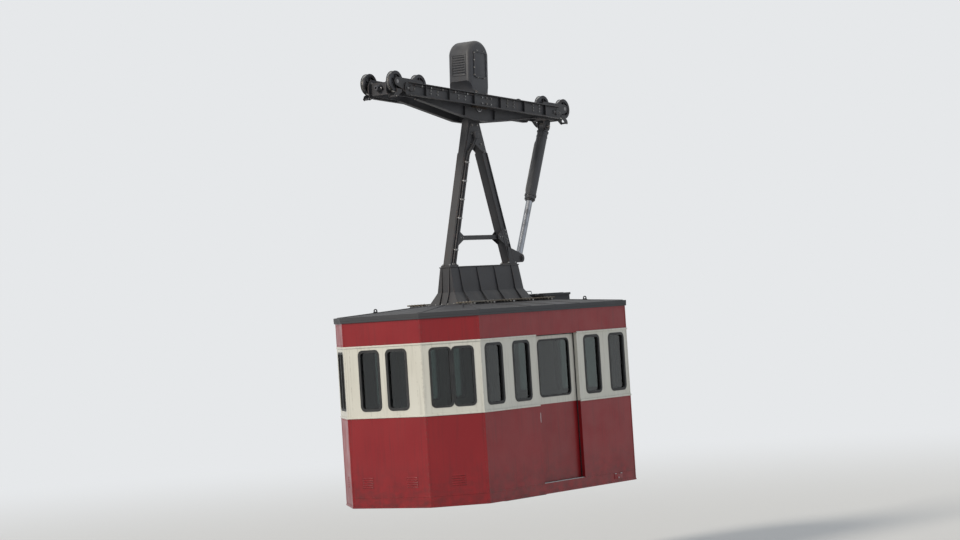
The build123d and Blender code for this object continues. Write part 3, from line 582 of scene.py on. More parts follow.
def smooth_copy(node, body, finish):
    """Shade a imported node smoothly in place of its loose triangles."""
    bm = bmesh.new()
    bm.from_mesh(nodes[node].data)
    bmesh.ops.remove_doubles(bm, verts=bm.verts, dist=2e-5)
    bmesh.ops.dissolve_limit(bm, angle_limit=radians(0.5), verts=bm.verts, edges=bm.edges)
    finish_piece(bm, node + "_finished", body, finish, replaces=(node,))


# Words in the wheels' and doors' names, with the sign of their place
ends = (("upper", -1), ("lower", 1))
sides = (("right", -1), ("left", 1))
places = (("outer", 1), ("inner", -1))


# Track wheels: cast body with ribs, rope groove worn bright, bolted bearing cap on both sides
def track_wheel(name, x, y):
    place = pitched @ move(x, y, axle_z)
    casting, groove, caps = bmesh.new(), bmesh.new(), bmesh.new()
    half = [(0.012, 0.1165), (0.016, 0.118), (0.024, 0.139), (0.027, 0.140), (0.030, 0.140), (0.032, 0.138),
            (0.032, 0.101), (0.030, 0.098), (0.013, 0.096), (0.010, 0.092), (0.010, 0.056), (0.013, 0.052),
            (0.034, 0.050), (0.036, 0.048), (0.036, 0.0251)]
    turned(casting, half + [(-a, r) for a, r in reversed(half)], place, 64)
    turned(groove, [(-0.0125, 0.1160), (0.0, 0.1154), (0.0125, 0.1160), (0.0225, 0.1345),
                    (0.0232, 0.1342), (0.0135, 0.1155), (0.0, 0.1150), (-0.0135, 0.1155),
                    (-0.0232, 0.1342), (-0.0225, 0.1345)], place, 64)
    for s, k in product(both, range(6)):
        spoke = place @ turn(60 * k, "Y")
        block(casting, (-0.004, s * 0.010, 0.050), (0.004, s * 0.026, 0.100), spoke)
        bolt(caps, (0, s * 0.0355, 0.039), (0, s, 0), 0.005, spoke @ turn(30, "Y"))
    finish_piece(casting, name + "_casting", name, cast_steel, replaces=(name,))
    finish_piece(groove, name + "_groove", name, polished_steel)
    finish_piece(caps, name + "_cap_bolts", name, zinc_steel)


for (end_name, end), (side_name, s), (place_name, outward) in product(ends, sides, places):
    track_wheel(f"wheel_{end_name}_{side_name}_{place_name}",
                end * (rocker_x + outward * wheel_base / 2), s * rope_y)


# Carriage: flanges, stiffeners, keeper plates and fasteners on the beams
def beam_flanges():
    bm = bmesh.new()
    reach, flare = outer_beam_half - 0.07, keel_reach + 0.03
    keel = [(-flare, beam_bottom), (-keel_flat, keel_z), (keel_flat, keel_z), (flare, beam_bottom)]
    for s in both:
        for z in (beam_top - 0.012, beam_bottom):
            block(bm, (-reach, s * outer_plate_out, z),
                  (reach, s * (outer_plate_out + 0.040), z + 0.012), edge=0.002)
        y = s * (inner_plate_in + inner_plate_out) / 2
        for (x0, z0), (x1, z1) in zip(keel, keel[1:]):
            bar(bm, (x0, y, z0), (x1, y, z1), 0.060, -0.012)
    finish_piece(bm, "beam_flanges", "carriage", frame_paint, pitched)


def beam_stiffeners():
    bm = bmesh.new()
    for s in both:
        for x in (-1.37, -0.86, -0.30, 0.30, 0.86, 1.37):
            block(bm, (x - 0.005, s * outer_plate_out, beam_bottom + 0.012),
                  (x + 0.005, s * (outer_plate_out + 0.032), beam_top - 0.012), edge=0.001)
        for x in (-0.34, 0.34):
            block(bm, (x - 0.006, s * inner_plate_out, -0.150),
                  (x + 0.006, s * (inner_plate_out + 0.030), beam_bottom), edge=0.001)
    finish_piece(bm, "beam_stiffeners", "carriage", frame_paint, pitched)


def beam_fasteners():
    bm = bmesh.new()
    for s in both:
        y, out = s * outer_plate_out, (0, s, 0)
        for x in cross_tube_x:
            bolt_grid(bm, (x - 0.075, x + 0.075), (y,), (0.035, 0.075, 0.115), out, 0.010)
        bolt_grid(bm, (-0.10, 0.0, 0.10), (y,), (0.02, 0.10), out, 0.012)
        for x in (-rocker_x, rocker_x):
            bolt_grid(bm, (x - 0.062, x + 0.062), (y + s * 0.008,), (rocker_pin_z,), out, 0.010)
    finish_piece(bm, "beam_fasteners", "carriage", zinc_steel, pitched)


def pin_keepers():
    """Keeper plate and end cap over each rocker pin."""
    bm = bmesh.new()
    cap = [(0.0, 0.0), (0.0, 0.040), (0.014, 0.038), (0.018, 0.030), (0.018, 0.0)]
    for s, x in product(both, (-rocker_x, rocker_x)):
        block(bm, (x - 0.085, s * outer_plate_out, rocker_pin_z - 0.026),
              (x + 0.085, s * (outer_plate_out + 0.008), rocker_pin_z + 0.026), edge=0.003)
        turned(bm, [(s * (outer_plate_out + a), r) for a, r in cap], move(x, 0, rocker_pin_z), 32)
    finish_piece(bm, "pin_keepers", "carriage", frame_paint, pitched)


def pivot_caps():
    """Cap with a ring of bolts over each end of the hanger's pin, and a grease nipple in its middle."""
    caps, steel = bmesh.new(), bmesh.new()
    cap = [(0.0, 0.0), (0.0, 0.062), (0.005, 0.062), (0.008, 0.058),
           (0.008, 0.034), (0.013, 0.030), (0.013, 0.0)]
    for s in both:
        turned(caps, [(s * (pivot_end + a), r) for a, r in cap], steps=40)
        rod(steel, (0, s * (pivot_end + 0.013), 0), (0, s * (pivot_end + 0.030), 0), 0.006, 8, end_r=0.003)
        for k in range(6):
            bolt(steel, (0.048, s * (pivot_end + 0.008), 0), (0, s, 0), 0.007, turn(60 * k, "Y"))
    finish_piece(caps, "pivot_caps", "carriage", frame_paint, pitched)
    finish_piece(steel, "pivot_cap_bolts", "carriage", zinc_steel, pitched)


def rope_catchers():
    """Forked plates at both ends that keep a thrown rope under the wheels, and their bolts."""
    plates, steel = bmesh.new(), bmesh.new()
    hook = [(1.935, 0.0), (1.965, -0.012), (1.987, -0.060), (1.965, -0.078),
            (1.905, -0.050), (1.825, 0.010), (1.825, 0.040), (1.935, 0.045)]
    for end, s in product(both, both):
        x, y, z = end * 1.955, s * rope_y, -0.058
        for dy in (-0.050, 0.042):
            outline_plate(plates, [(end * a, b) for a, b in hook], y + dy, y + dy + 0.008)
        rod(plates, (x, y - 0.046, z), (x, y + 0.046, z), 0.013, 16)
        for way in both:
            bolt(steel, (x, y + way * 0.050, z), (0, way, 0), 0.010)
    finish_piece(plates, "rope_catchers", "carriage", frame_paint, pitched, edge=0.001)
    finish_piece(steel, "rope_catcher_bolts", "carriage", zinc_steel, pitched)


def socket_fittings():
    """Collar round each haul rope socket, with a cross bolt."""
    collars, steel = bmesh.new(), bmesh.new()
    ring = [(-0.012, 0.045), (-0.012, 0.058), (-0.008, 0.062),
            (0.008, 0.062), (0.012, 0.058), (0.012, 0.045)]
    for end in both:
        turned(collars, ring, move(end * 1.93, 0, socket_z) @ turn(90, "Z"), 32)
        x = end * 1.985
        rod(steel, (x, -0.056, socket_z), (x, 0.056, socket_z), 0.009, 16)
        for s in both:
            bolt(steel, (x, s * 0.044, socket_z), (0, s, 0), 0.014)
    finish_piece(collars, "socket_collars", "carriage", cast_steel, pitched)
    finish_piece(steel, "socket_bolts", "carriage", zinc_steel, pitched)


def carriage_conduits():
    """Painted steel conduit along both outer beams to the brake gear, held in saddle clips."""
    tubes, clips = bmesh.new(), bmesh.new()
    z = beam_top - 0.034
    for s in both:
        y = s * (outer_plate_out + 0.012)
        points = [(x, y, z) for x in (-1.60, -1.40, -0.80, -0.30)]
        points += [(-0.20, y, z + 0.02), (-0.17, y - s * 0.02, z + 0.06)]
        points += [(-0.16, s * 0.170, beam_top + 0.07), (-0.15, s * 0.135, beam_top + 0.09)]
        pipe(tubes, points, 0.008)
        for x in (-1.45, -1.25, -1.00, -0.72, -0.45):
            block(clips, (x - 0.010, y - 0.013, z - 0.013), (x + 0.010, y + 0.013, z + 0.013), edge=0.003)
    finish_piece(tubes, "carriage_conduits", "carriage", frame_paint, pitched)
    finish_piece(clips, "carriage_conduit_clips", "carriage", zinc_steel, pitched)


beam_flanges()
beam_stiffeners()
beam_fasteners()
pin_keepers()
pivot_caps()
rope_catchers()
socket_fittings()
carriage_conduits()

# Damper: rings, gland, bypass pipe and bolts on the barrel, and bolts on the bracket
damper_top = pitched @ Vector((damper_pin[0], 0, damper_pin[1]))
damper_base = along(damper_top, (damper_foot[0], 0, damper_foot[1]), (0, 1, 0))[0]


def damper_fittings():
    rings, steel, bracket = bmesh.new(), bmesh.new(), bmesh.new()
    down = damper_base @ turn(90, "X")
    for low, high, r in ((0.070, 0.090, 0.083), (0.150, 0.162, 0.079), (1.045, 1.075, 0.083)):
        turned(rings, [(low, 0.070), (low, r - 0.003), (low + 0.003, r),
                       (high - 0.003, r), (high, r - 0.003), (high, 0.070)], down)
    gland = [(1.115, 0.0458), (1.115, 0.062), (1.136, 0.062), (1.142, 0.056), (1.142, 0.0458)]
    turned(rings, gland, down, 40)
    for k in range(8):
        bolt(steel, (0.068, 0, 1.075), (0, 0, 1), 0.008, damper_base @ turn(45 * k, "Z"))
    bypass = ((0.0745, 0.20), (0.100, 0.21), (0.102, 0.30), (0.102, 0.90), (0.100, 1.00), (0.0745, 1.01))
    pipe(steel, [(0, y, z) for y, z in bypass], 0.007, damper_base)
    for z in (0.20, 1.01):
        rod(steel, (0, 0.074, z), (0, 0.090, z), 0.012, 6, damper_base)
    x, z = damper_pin
    for s in both:
        bolt(bracket, (x, s * 0.076, z), (0, s, 0), 0.019)
    bolt_grid(bracket, (x - 0.05, x + 0.05), (-0.11, 0.0, 0.11), (beam_top + 0.035,), (0, 0, 1), 0.011)
    finish_piece(rings, "damper_rings", "damper_barrel", cover_paint)
    finish_piece(steel, "damper_bolts", "damper_barrel", zinc_steel)
    finish_piece(bracket, "damper_bracket_bolts", "carriage", zinc_steel, pitched)


damper_fittings()


# Brake gear: covers, louvres, base flange, fasteners, pipes and springs
def housing_covers():
    bm = bmesh.new()
    for s in both:
        cover = move(0, s * housing_side, beam_top + 0.42) @ turn(-s * 90, "X")
        ring_frame(bm, 0.26, 0.34, 0.035, 0.012, 0.012, 0.004, cover)
        block(bm, (-0.125, s * housing_side, beam_top + 0.255),
              (0.125, s * (housing_side + 0.007), beam_top + 0.585), edge=0.003)
        for k in range(7):
            slat = move(s * housing_half, 0, beam_top + 0.30 + k * 0.034) @ turn(s * 35, "Y")
            block(bm, (-0.003, -0.095, -0.014), (0.003, 0.095, 0.014), slat, 0.001)
        for y0, y1, z0, z1 in ((-0.115, -0.100, 0.27, 0.54), (0.100, 0.115, 0.27, 0.54),
                               (-0.115, 0.115, 0.535, 0.55), (-0.115, 0.115, 0.26, 0.275)):
            block(bm, (s * (housing_half - 0.001), y0, beam_top + z0),
                  (s * (housing_half + 0.007), y1, beam_top + z1), edge=0.002)
    block(bm, (-0.215, -0.150, beam_top), (0.215, 0.150, beam_top + 0.016), edge=0.004)
    finish_piece(bm, "housing_covers", "carriage", cover_paint, pitched)


def housing_fasteners():
    bm = bmesh.new()
    column = [beam_top + 0.27 + k * 0.10 for k in range(4)]
    for s in both:
        y, out = s * (housing_side + 0.010), (0, s, 0)
        bolt_grid(bm, (-0.142, 0.142), (y,), column, out, 0.008)
        bolt_grid(bm, (-0.07, 0.07), (y,), (beam_top + 0.238, beam_top + 0.602), out, 0.008)
    bolt_grid(bm, (-0.195, -0.07, 0.07, 0.195), (-0.132, 0.132), (beam_top + 0.016,), (0, 0, 1), 0.011)
    finish_piece(bm, "housing_fasteners", "carriage", zinc_steel, pitched)


def brake_pipes():
    """Hydraulic pipes from the housing's foot to each jaw, with a nut at both ends."""
    bm = bmesh.new()
    bends = ((0.120, beam_top + 0.05), (0.185, beam_top + 0.06), (0.205, beam_top + 0.02),
             (0.208, 0.110), (0.210, 0.054))
    for s, x in product(both, (-0.12, 0.12)):
        pipe(bm, [(x, s * y, z) for y, z in bends], 0.007)
        rod(bm, (x, s * 0.118, beam_top + 0.05), (x, s * 0.140, beam_top + 0.054), 0.012, 6)
        rod(bm, (x, s * 0.210, 0.050), (x, s * 0.210, 0.072), 0.013, 6)
    finish_piece(bm, "brake_pipes", "carriage", zinc_steel, pitched)


def brake_springs():
    """Coil springs that close the jaws on the ropes when the pressure is let go, under a steel plate."""
    bm = bmesh.new()
    coil_r, low, high, steps = 0.024, 0.056, 0.128, 50
    for s in both:
        for x in (-0.05, 0.05):
            pipe(bm, [(x + coil_r * cos(pi * k / 5), s * rope_y + coil_r * sin(pi * k / 5),
                       low + (high - low) * k / steps) for k in range(steps + 1)], 0.0045, sides=1)
        block(bm, (-0.10, s * inner_plate_out, high), (0.10, s * outer_plate_in, beam_top), edge=0.002)
    finish_piece(bm, "brake_springs", "carriage", greased_steel, pitched)


housing_covers()
housing_fasteners()
brake_pipes()
brake_springs()
smooth_copy("brake_housing", "carriage", cover_paint)

# Cabin plan, and the mouldings round it
kinds = ("end", "chamfer", "side", "chamfer", "end", "chamfer", "side", "chamfer")


def plan_corners(x, y, cut):
    """Corners of an eight-sided plan, from its half length, half width and corner cut."""
    return [(x, cut - y), (x, y - cut), (x - cut, y), (cut - x, y),
            (-x, y - cut), (-x, cut - y), (cut - x, -y), (x - cut, -y)]


def cabin_corners(outset):
    """Corners of the cabin's plan, with its walls moved outwards."""
    return plan_corners(cabin_half_x + outset, cabin_half_y + outset, corner_cut + outset * (2 - sqrt(2)))


def facet(i, outset=0.0):
    """Frame on the outside of a wall: X along it, Y up, Z outwards, and its length."""
    corners = cabin_corners(outset)
    (x0, y0), (x1, y1) = corners[i], corners[(i + 1) % 8]
    length = hypot(x1 - x0, y1 - y0)
    way = Vector(((x1 - x0) / length, (y1 - y0) / length, 0))
    out = Vector((way.y, -way.x, 0))
    axes = Matrix((way, Vector((0, 0, 1)), out)).transposed().to_4x4()
    return move((x0 + x1) / 2, (y0 + y1) / 2, 0) @ axes, length


def mitre(bm, s, length):
    """Cut a strip on a wall where the wall meets its neighbour."""
    bmesh.ops.bisect_plane(bm, geom=bm.verts[:] + bm.edges[:] + bm.faces[:], clear_outer=True,
                           plane_co=(s * length / 2, 0, 0), plane_no=(s * cos(pi / 8), 0, -sin(pi / 8)))
    bmesh.ops.holes_fill(bm, edges=[e for e in bm.edges if len(e.link_faces) == 1])


def belt(bm, z_low, z_high, proud, doors=True):
    """Moulding round the cabin, mitred at its corners and stopped at the doorways."""
    for i, kind in enumerate(kinds):
        place, length = facet(i)
        reach = facet(i, proud)[1] / 2 + 0.002
        spans = [(-reach, reach)]
        if kind == "side" and doors:
            spans = [(-reach, -door_half), (door_half, reach)]
        for x0, x1 in spans:
            strip = bmesh.new()
            block(strip, (x0, z_low, -0.004), (x1, z_high, proud))
            front = [e for e in strip.edges if all(abs(v.co.z - proud) < 1e-6 for v in e.verts)
                     and abs(e.verts[0].co.y - e.verts[1].co.y) < 1e-6]
            bmesh.ops.bevel(strip, geom=front, offset=0.004, segments=3, profile=0.5, affect="EDGES",
                            material=-1)
            for s, x in ((-1, x0), (1, x1)):
                if abs(x) > length / 2 - 0.001:
                    mitre(strip, s, length)
            add_mesh(bm, strip, place)


def belts():
    ivory, drip, red = bmesh.new(), bmesh.new(), bmesh.new()
    belt(ivory, sill - 0.014, sill + 0.012, 0.012)
    belt(ivory, head - 0.012, head + 0.012, 0.012)
    belt(drip, eaves - 0.030, eaves, 0.020, doors=False)
    belt(red, skirt, skirt + 0.022, 0.008, doors=False)
    belt(red, floor - 0.006, floor + 0.006, 0.004)
    finish_piece(ivory, "window_band_mouldings", "cabin", white_enamel)
    finish_piece(drip, "drip_moulding", "cabin", roof_coating)
    finish_piece(red, "skirt_edging", "cabin", red_enamel)


belts()

# Windows: rubber gasket outside and inside each pane
pane_middle = (pane_low + pane_high) / 2
pane_height = pane_high - pane_low


def window_rows():
    """Each row: wall number, centre along it, width of the pane."""
    post_margin, door_margin, side_mullion = 0.015, 0.180, 0.270
    rows = []
    for i, kind in enumerate(kinds):
        reach = facet(i)[1] / 2 - corner_post
        if kind == "side":
            pane = (reach - post_margin - door_half - door_margin - side_mullion) / 2
            first = door_half + door_margin + pane / 2
            rows += [(i, s * x, pane) for s in both for x in (first, first + pane + side_mullion)]
        else:
            margin, mullion = (0.165, 0.150) if kind == "end" else (0.010, 0.030)
            pane = reach - margin - mullion / 2
            rows += [(i, s * (pane + mullion) / 2, pane) for s in both]
    return rows


def window_gaskets():
    """Rubber 36 mm wide round single windows, and narrower where two panes share a thin mullion."""
    bm = bmesh.new()
    for i, x, width in window_rows():
        shift, lap = (0.0, 0.0145) if kinds[i] == "chamfer" else (0.008, 0.018)
        size = (width + 2 * shift, pane_height + 2 * shift, pane_corner_r + shift, lap)
        place = facet(i)[0] @ move(x, pane_middle, 0)
        ring_frame(bm, *size, 0.005, 0.026, place)
        ring_frame(bm, *size, 0.004, 0.015, place @ move(0, 0, -wall) @ turn(180, "Y"))
    finish_piece(bm, "window_gaskets", "cabin", gasket_rubber)


def leaf_faces(s, x, z):
    """Frames on both faces of a door leaf, Z out of the face."""
    return [move(x, y, z) @ turn(-way * 90, "X") for y, way in ((s * leaf_out_y, s), (s * leaf_in_y, -s))]


def door_gaskets(side_name, s):
    bm = bmesh.new()
    for place in leaf_faces(s, 0, pane_middle):
        ring_frame(bm, door_pane, pane_height, door_pane_corner_r, 0.012, 0.004, 0.010, place)
    finish_piece(bm, f"door_gaskets_{side_name}", f"door_{side_name}", gasket_rubber)


window_gaskets()
for side_name, s in sides:
    door_gaskets(side_name, s)


# Cabin skin: rivet rows, corner strips, low vents and supply flaps
def rivet_row(low, high):
    """Places of rivets from end to end of a row, about 110 mm apart."""
    count = max(2, round((high - low) / 0.110))
    return [low + (high - low) * k / count for k in range(count + 1)]


def skin_rivets():
    """Rows of rivets along the mouldings and up both sides of each corner."""
    bm = bmesh.new()
    for i, kind in enumerate(kinds):
        place, length = facet(i)
        for x in rivet_row(0.04 - length / 2, length / 2 - 0.04):
            rows = [skirt + 0.038, eaves - 0.052]
            if kind != "side" or abs(x) >= door_half + 0.02:
                rows += [sill - 0.032, head + 0.032]
            for z in rows:
                rivet(bm, (x, z, 0), (0, 0, 1), 0.006, place)
        for s, span in product(both, ((skirt + 0.10, sill - 0.09), (head + 0.09, eaves - 0.10))):
            for z in rivet_row(*span):
                rivet(bm, (s * (length / 2 - 0.028), z, 0), (0, 0, 1), 0.005, place)
    finish_piece(bm, "skin_rivets", "cabin", red_enamel)


def corner_strips(name, finish, heights):
    """Folded cover strip over each corner of the cabin, between pairs of heights."""
    bm = bmesh.new()
    for i, s, (low, high) in product(range(8), both, heights):
        place, length = facet(i)
        strip = bmesh.new()
        block(strip, (s * (length / 2 - 0.020), low, -0.002), (s * (length / 2 + 0.004), high, 0.0025))
        mitre(strip, s, length)
        add_mesh(bm, strip, place)
    finish_piece(bm, name, "cabin", finish)


def low_vents():
    """Pressed louvres low in both end walls and in the four corner walls."""
    bm = bmesh.new()
    vent_x = {"end": (-0.36, 0.36), "chamfer": (0,), "side": ()}
    for i, kind in enumerate(kinds):
        for x, k in product(vent_x[kind], range(5)):
            louvre = facet(i)[0] @ move(x, floor + 0.13 + k * 0.030, 0) @ turn(-32, "X")
            block(bm, (-0.085, -0.010, -0.006), (0.085, 0.010, 0.004), louvre, 0.002)
    finish_piece(bm, "low_vents", "cabin", red_enamel)


def supply_flaps():
    """Hinged flap over the charging socket on both skirts, with a quarter-turn latch."""
    flap, metal = bmesh.new(), bmesh.new()
    for place in [facet(i)[0] @ move(0, skirt, 0) for i, kind in enumerate(kinds) if kind == "side"]:
        block(flap, (1.18, 0.050, 0.0), (1.38, 0.118, 0.006), place, 0.002)
        for x in (1.21, 1.35):
            rod(metal, (x - 0.018, 0.121, 0.006), (x + 0.018, 0.121, 0.006), 0.005, 12, place)
        rod(metal, (1.28, 0.066, 0.006), (1.28, 0.066, 0.011), 0.010, 20, place)
        block(metal, (1.272, 0.0645, 0.011), (1.288, 0.0675, 0.014), place, 0.001)
    finish_piece(flap, "supply_flaps", "cabin", red_enamel)
    finish_piece(metal, "supply_flap_latches", "cabin", stainless)


skin_rivets()
corner_strips("corner_strips_red", red_enamel, ((skirt, sill - 0.014), (head + 0.012, eaves - 0.030)))
corner_strips("corner_strips_ivory", white_enamel, ((sill + 0.012, head - 0.012),))
low_vents()
supply_flaps()


# Doorways: thresholds, seals, recessed pulls and inside kick plates
def doorway_trim():
    alloy, seals = bmesh.new(), bmesh.new()
    for s in both:
        block(alloy, (0.002 - door_half, s * (cabin_half_y - wall + 0.001), floor - 0.002),
              (door_half - 0.002, s * (cabin_half_y - 0.004), floor + 0.004), edge=0.002)
        for k in range(5):
            y = s * (cabin_half_y - 0.012 - k * 0.007)
            block(alloy, (0.01 - door_half, y - 0.0014, floor + 0.003),
                  (door_half - 0.01, y + 0.0014, floor + 0.006))
        y0, y1 = s * (cabin_half_y - wall - 0.006), s * (cabin_half_y - wall + 0.004)
        for e in both:
            block(seals, (e * (door_half - 0.001), y0, floor + 0.006),
                  (e * (door_half - 0.010), y1, head - 0.004), edge=0.001)
        block(seals, (0.010 - door_half, y0, head - 0.012),
              (door_half - 0.010, y1, head - 0.002), edge=0.001)
    finish_piece(alloy, "thresholds", "cabin", anodised)
    finish_piece(seals, "doorway_seals", "cabin", gasket_rubber)


def door_fittings(side_name, s):
    """Flush pull on both faces near the closing edge, and a kick plate on the inside."""
    steel, dark, screws = bmesh.new(), bmesh.new(), bmesh.new()
    for place in leaf_faces(s, s * 0.425, -4.20):
        ring_frame(steel, 0.060, 0.150, 0.028, 0.008, 0.0035, 0.002, place)
        block(dark, (-0.030, -0.075, -0.0015), (0.030, 0.075, 0.0006), place, 0.0004)
        for z in (-0.088, 0.088):
            rivet(screws, (0, z, 0.0), (0, 0, 1), 0.004, place)
    plate_y = s * (leaf_in_y - 0.002)
    block(steel, (-0.49, s * leaf_in_y, floor + 0.020), (0.49, plate_y, floor + 0.240), edge=0.0005)
    for k, z in product(range(8), (floor + 0.032, floor + 0.228)):
        rivet(screws, (-0.476 + k * 0.136, plate_y, z), (0, -s, 0), 0.004)
    finish_piece(steel, f"door_plates_{side_name}", f"door_{side_name}", stainless)
    finish_piece(dark, f"door_pull_cups_{side_name}", f"door_{side_name}", gasket_rubber)
    finish_piece(screws, f"door_screws_{side_name}", f"door_{side_name}", zinc_steel)


doorway_trim()
for side_name, s in sides:
    door_fittings(side_name, s)


# Roof: hip and seam strips, walk boards, lifting eyes and hatch fittings
def roof_strips():
    bm = bmesh.new()
    rim, crown = cabin_corners(roof_overhang), plan_corners(*roof_flat_half)
    for (x0, y0), (x1, y1) in zip(rim, crown):
        a, b = Vector((x0, y0, roof_edge_top)), Vector((x1, y1, roof_top))
        bar(bm, a.lerp(b, 0.045) - Vector((0, 0, 0.004)), b - Vector((0, 0, 0.003)), 0.050, 0.009)
    for (x0, y0), (x1, y1) in zip(crown, crown[1:] + crown[:1]):
        bar(bm, (x0, y0, roof_top - 0.003), (x1, y1, roof_top - 0.003), 0.040, 0.008)
    edge_y, crown_y = cabin_half_y + roof_overhang - 0.006, roof_flat_half[1]
    for s, x in product(both, (-0.58, 0.0, 0.58)):
        bar(bm, (x, s * edge_y, roof_edge_top - 0.003), (x, s * crown_y, roof_top - 0.003), 0.036, 0.009)
    finish_piece(bm, "roof_strips", "cabin", roof_coating, edge=0.002)


def roof_boards():
    """Slatted walk boards on low bearers along both sides of the pedestal."""
    boards, feet = bmesh.new(), bmesh.new()
    bearers = (-0.90, -0.45, 0.0, 0.45, 0.90)
    for s in both:
        rows = [s * (0.300 + k * 0.052) for k in range(5)]
        for y in rows:
            block(boards, (-0.98, y - 0.019, roof_top + 0.016),
                  (0.98, y + 0.019, roof_top + 0.034), edge=0.004)
        for x in bearers:
            block(feet, (x - 0.018, s * 0.275, roof_top - 0.012),
                  (x + 0.018, s * 0.530, roof_top + 0.0165), edge=0.002)
        bolt_grid(feet, bearers, rows, (roof_top + 0.034,), (0, 0, 1), 0.005)
    finish_piece(boards, "roof_walk_boards", "cabin", weathered_larch)
    finish_piece(feet, "roof_board_bearers", "cabin", zinc_steel)


def lifting_eyes():
    """Plate eye welded on each corner slope of the roof, where the cabin is craned."""
    bm = bmesh.new()
    ring = [(-0.006, 0.012), (-0.006, 0.026), (0.006, 0.026), (0.006, 0.012)]
    foot = [(-0.055, -0.006), (0.055, -0.006), (0.024, 0.028), (-0.024, 0.028)]
    for end, s in product(both, both):
        place = move(end * 1.42, s * 0.72, -2.700) @ turn(end * s * 30, "Z")
        turned(bm, ring, place @ move(0, 0, 0.038), 32)
        outline_plate(bm, foot, -0.006, 0.006, place)
    finish_piece(bm, "lifting_eyes", "cabin", roof_coating, edge=0.001)


def hatch_fittings():
    """Pressed stiffeners, grab handle and two latches on the roof hatch's lid, and the seal under it."""
    lid, steel, seal = bmesh.new(), bmesh.new(), bmesh.new()
    x, low, high = roof_hatch_x, roof_top + 0.050, roof_top + 0.080
    handle_x = x - 0.285
    ring_frame(lid, 0.50, 0.50, 0.040, 0.010, 0.006, 0.001, move(x, 0, high))
    for s in both:
        bar(lid, (x - 0.19, s * 0.19, high - 0.001), (x + 0.19, -s * 0.19, high - 0.001), 0.030, 0.005)
        rod(steel, (handle_x, s * 0.075, high), (handle_x, s * 0.075, high + 0.004), 0.016)
        block(steel, (x - 0.345, s * 0.20 - 0.022, low + 0.004),
              (x - 0.318, s * 0.20 + 0.022, high + 0.006), edge=0.003)
    bends = ((-0.075, -0.002), (-0.075, 0.040), (-0.060, 0.046),
             (0.060, 0.046), (0.075, 0.040), (0.075, -0.002))
    pipe(steel, [(handle_x, y, high + dz) for y, dz in bends], 0.007)
    ring_frame(seal, 0.555, 0.555, 0.002, 0.006, 0.004, 0.003, move(x, 0, low - 0.0045))
    finish_piece(lid, "roof_lid_stiffeners", "roof_hatch", roof_coating)
    finish_piece(steel, "roof_lid_handle", "roof_hatch", stainless)
    finish_piece(seal, "roof_hatch_seal", "cabin", gasket_rubber)


roof_strips()
roof_boards()
lifting_eyes()
hatch_fittings()


# Pedestal: welded ribs, base flange and bolts
def pedestal_ribs():
    ribs, steel = bmesh.new(), bmesh.new()
    (z0, z1, z2), half_x, half_y = zip(*pedestal_rows)
    up = (0, 0, 1)
    on_sides = (half_y, 0.035, (-0.60, -0.20, 0.20, 0.60), turn(90, "Z"))
    on_ends = (half_x, 0.030, (-0.06, 0.06), Matrix())
    for s, (half, toe, across, place) in product(both, (on_sides, on_ends)):
        rib = [(s * (half[0] + toe), z0), (s * (half[1] + 0.018), z1), (s * (half[2] + 0.010), z2 - 0.01),
               (s * (half[2] - 0.01), z2 - 0.01), (s * (half[1] - 0.01), z1), (s * (half[0] - 0.02), z0)]
        for y in across:
            outline_plate(ribs, rib, y - 0.006, y + 0.006, place)
    x, y = half_x[0] + 0.055, half_y[0] + 0.055
    block(ribs, (-x, -y, z0), (x, y, z0 + 0.012), edge=0.004)
    x, y = half_x[2] + 0.012, half_y[2] + 0.012
    block(ribs, (-x, -y, z2 - 0.014), (x, y, z2 - 0.0005), edge=0.004)
    x, y = half_x[0] + 0.032, half_y[0] + 0.032
    bolt_grid(steel, [-0.88 + k * 0.22 for k in range(9)], (-y, y), (z0 + 0.012,), up, 0.012)
    bolt_grid(steel, (-x, x), (-0.2, -0.1, 0.0, 0.1, 0.2), (z0 + 0.012,), up, 0.012)
    for x in (-foot_x, foot_x):
        bolt_grid(steel, (x - 0.075, x + 0.075), (-0.055, 0.055), (foot_z,), up, 0.013)
    finish_piece(ribs, "pedestal_ribs", "cabin", frame_paint)
    finish_piece(steel, "pedestal_bolts", "cabin", zinc_steel)


pedestal_ribs()


# Inside the cabin: rails, lamps, the desk's controls, an extinguisher and a locker
def hand_rails():
    """Stainless rails along the free walls, on brackets, with round flanges."""
    rails, brackets = bmesh.new(), bmesh.new()
    height = floor + 0.96
    x, y = cabin_half_x - wall - 0.060, cabin_half_y - wall - 0.060
    y_end = cabin_half_y - corner_cut - 0.08
    for a, b, out in (((-x, -y_end), (-x, y_end), (-1, 0)), ((-1.66, -y), (-0.66, -y), (0, -1)),
                      ((0.66, y), (1.66, y), (0, 1))):
        a, b, out = Vector((*a, height)), Vector((*b, height)), Vector((*out, 0))
        rod(rails, a, b, 0.016, 24)
        for share in (0.04, 0.5, 0.96):
            at = a.lerp(b, share)
            rod(brackets, at, at + out * 0.058, 0.008, 12)
            rod(brackets, at + out * 0.053, at + out * 0.060, 0.026)
    finish_piece(rails, "hand_rails", "cabin", stainless)
    finish_piece(brackets, "hand_rail_brackets", "cabin", zinc_steel, slot="cast_steel")


def ceiling_lamps():
    """Four long lamps with an opal cover in an aluminium tray."""
    trays, covers = bmesh.new(), bmesh.new()
    for y, x in product((-0.34, 0.34), (-1.05, 0.35)):
        lamp = move(x, y, eaves)
        block(trays, (-0.42, -0.070, -0.022), (0.42, 0.070, 0.001), lamp, 0.004)
        block(covers, (-0.40, -0.055, -0.040), (0.40, 0.055, -0.020), lamp, 0.012)
    finish_piece(trays, "ceiling_lamp_trays", "cabin", anodised)
    finish_piece(covers, "ceiling_lamp_covers", "cabin", opal_cover)


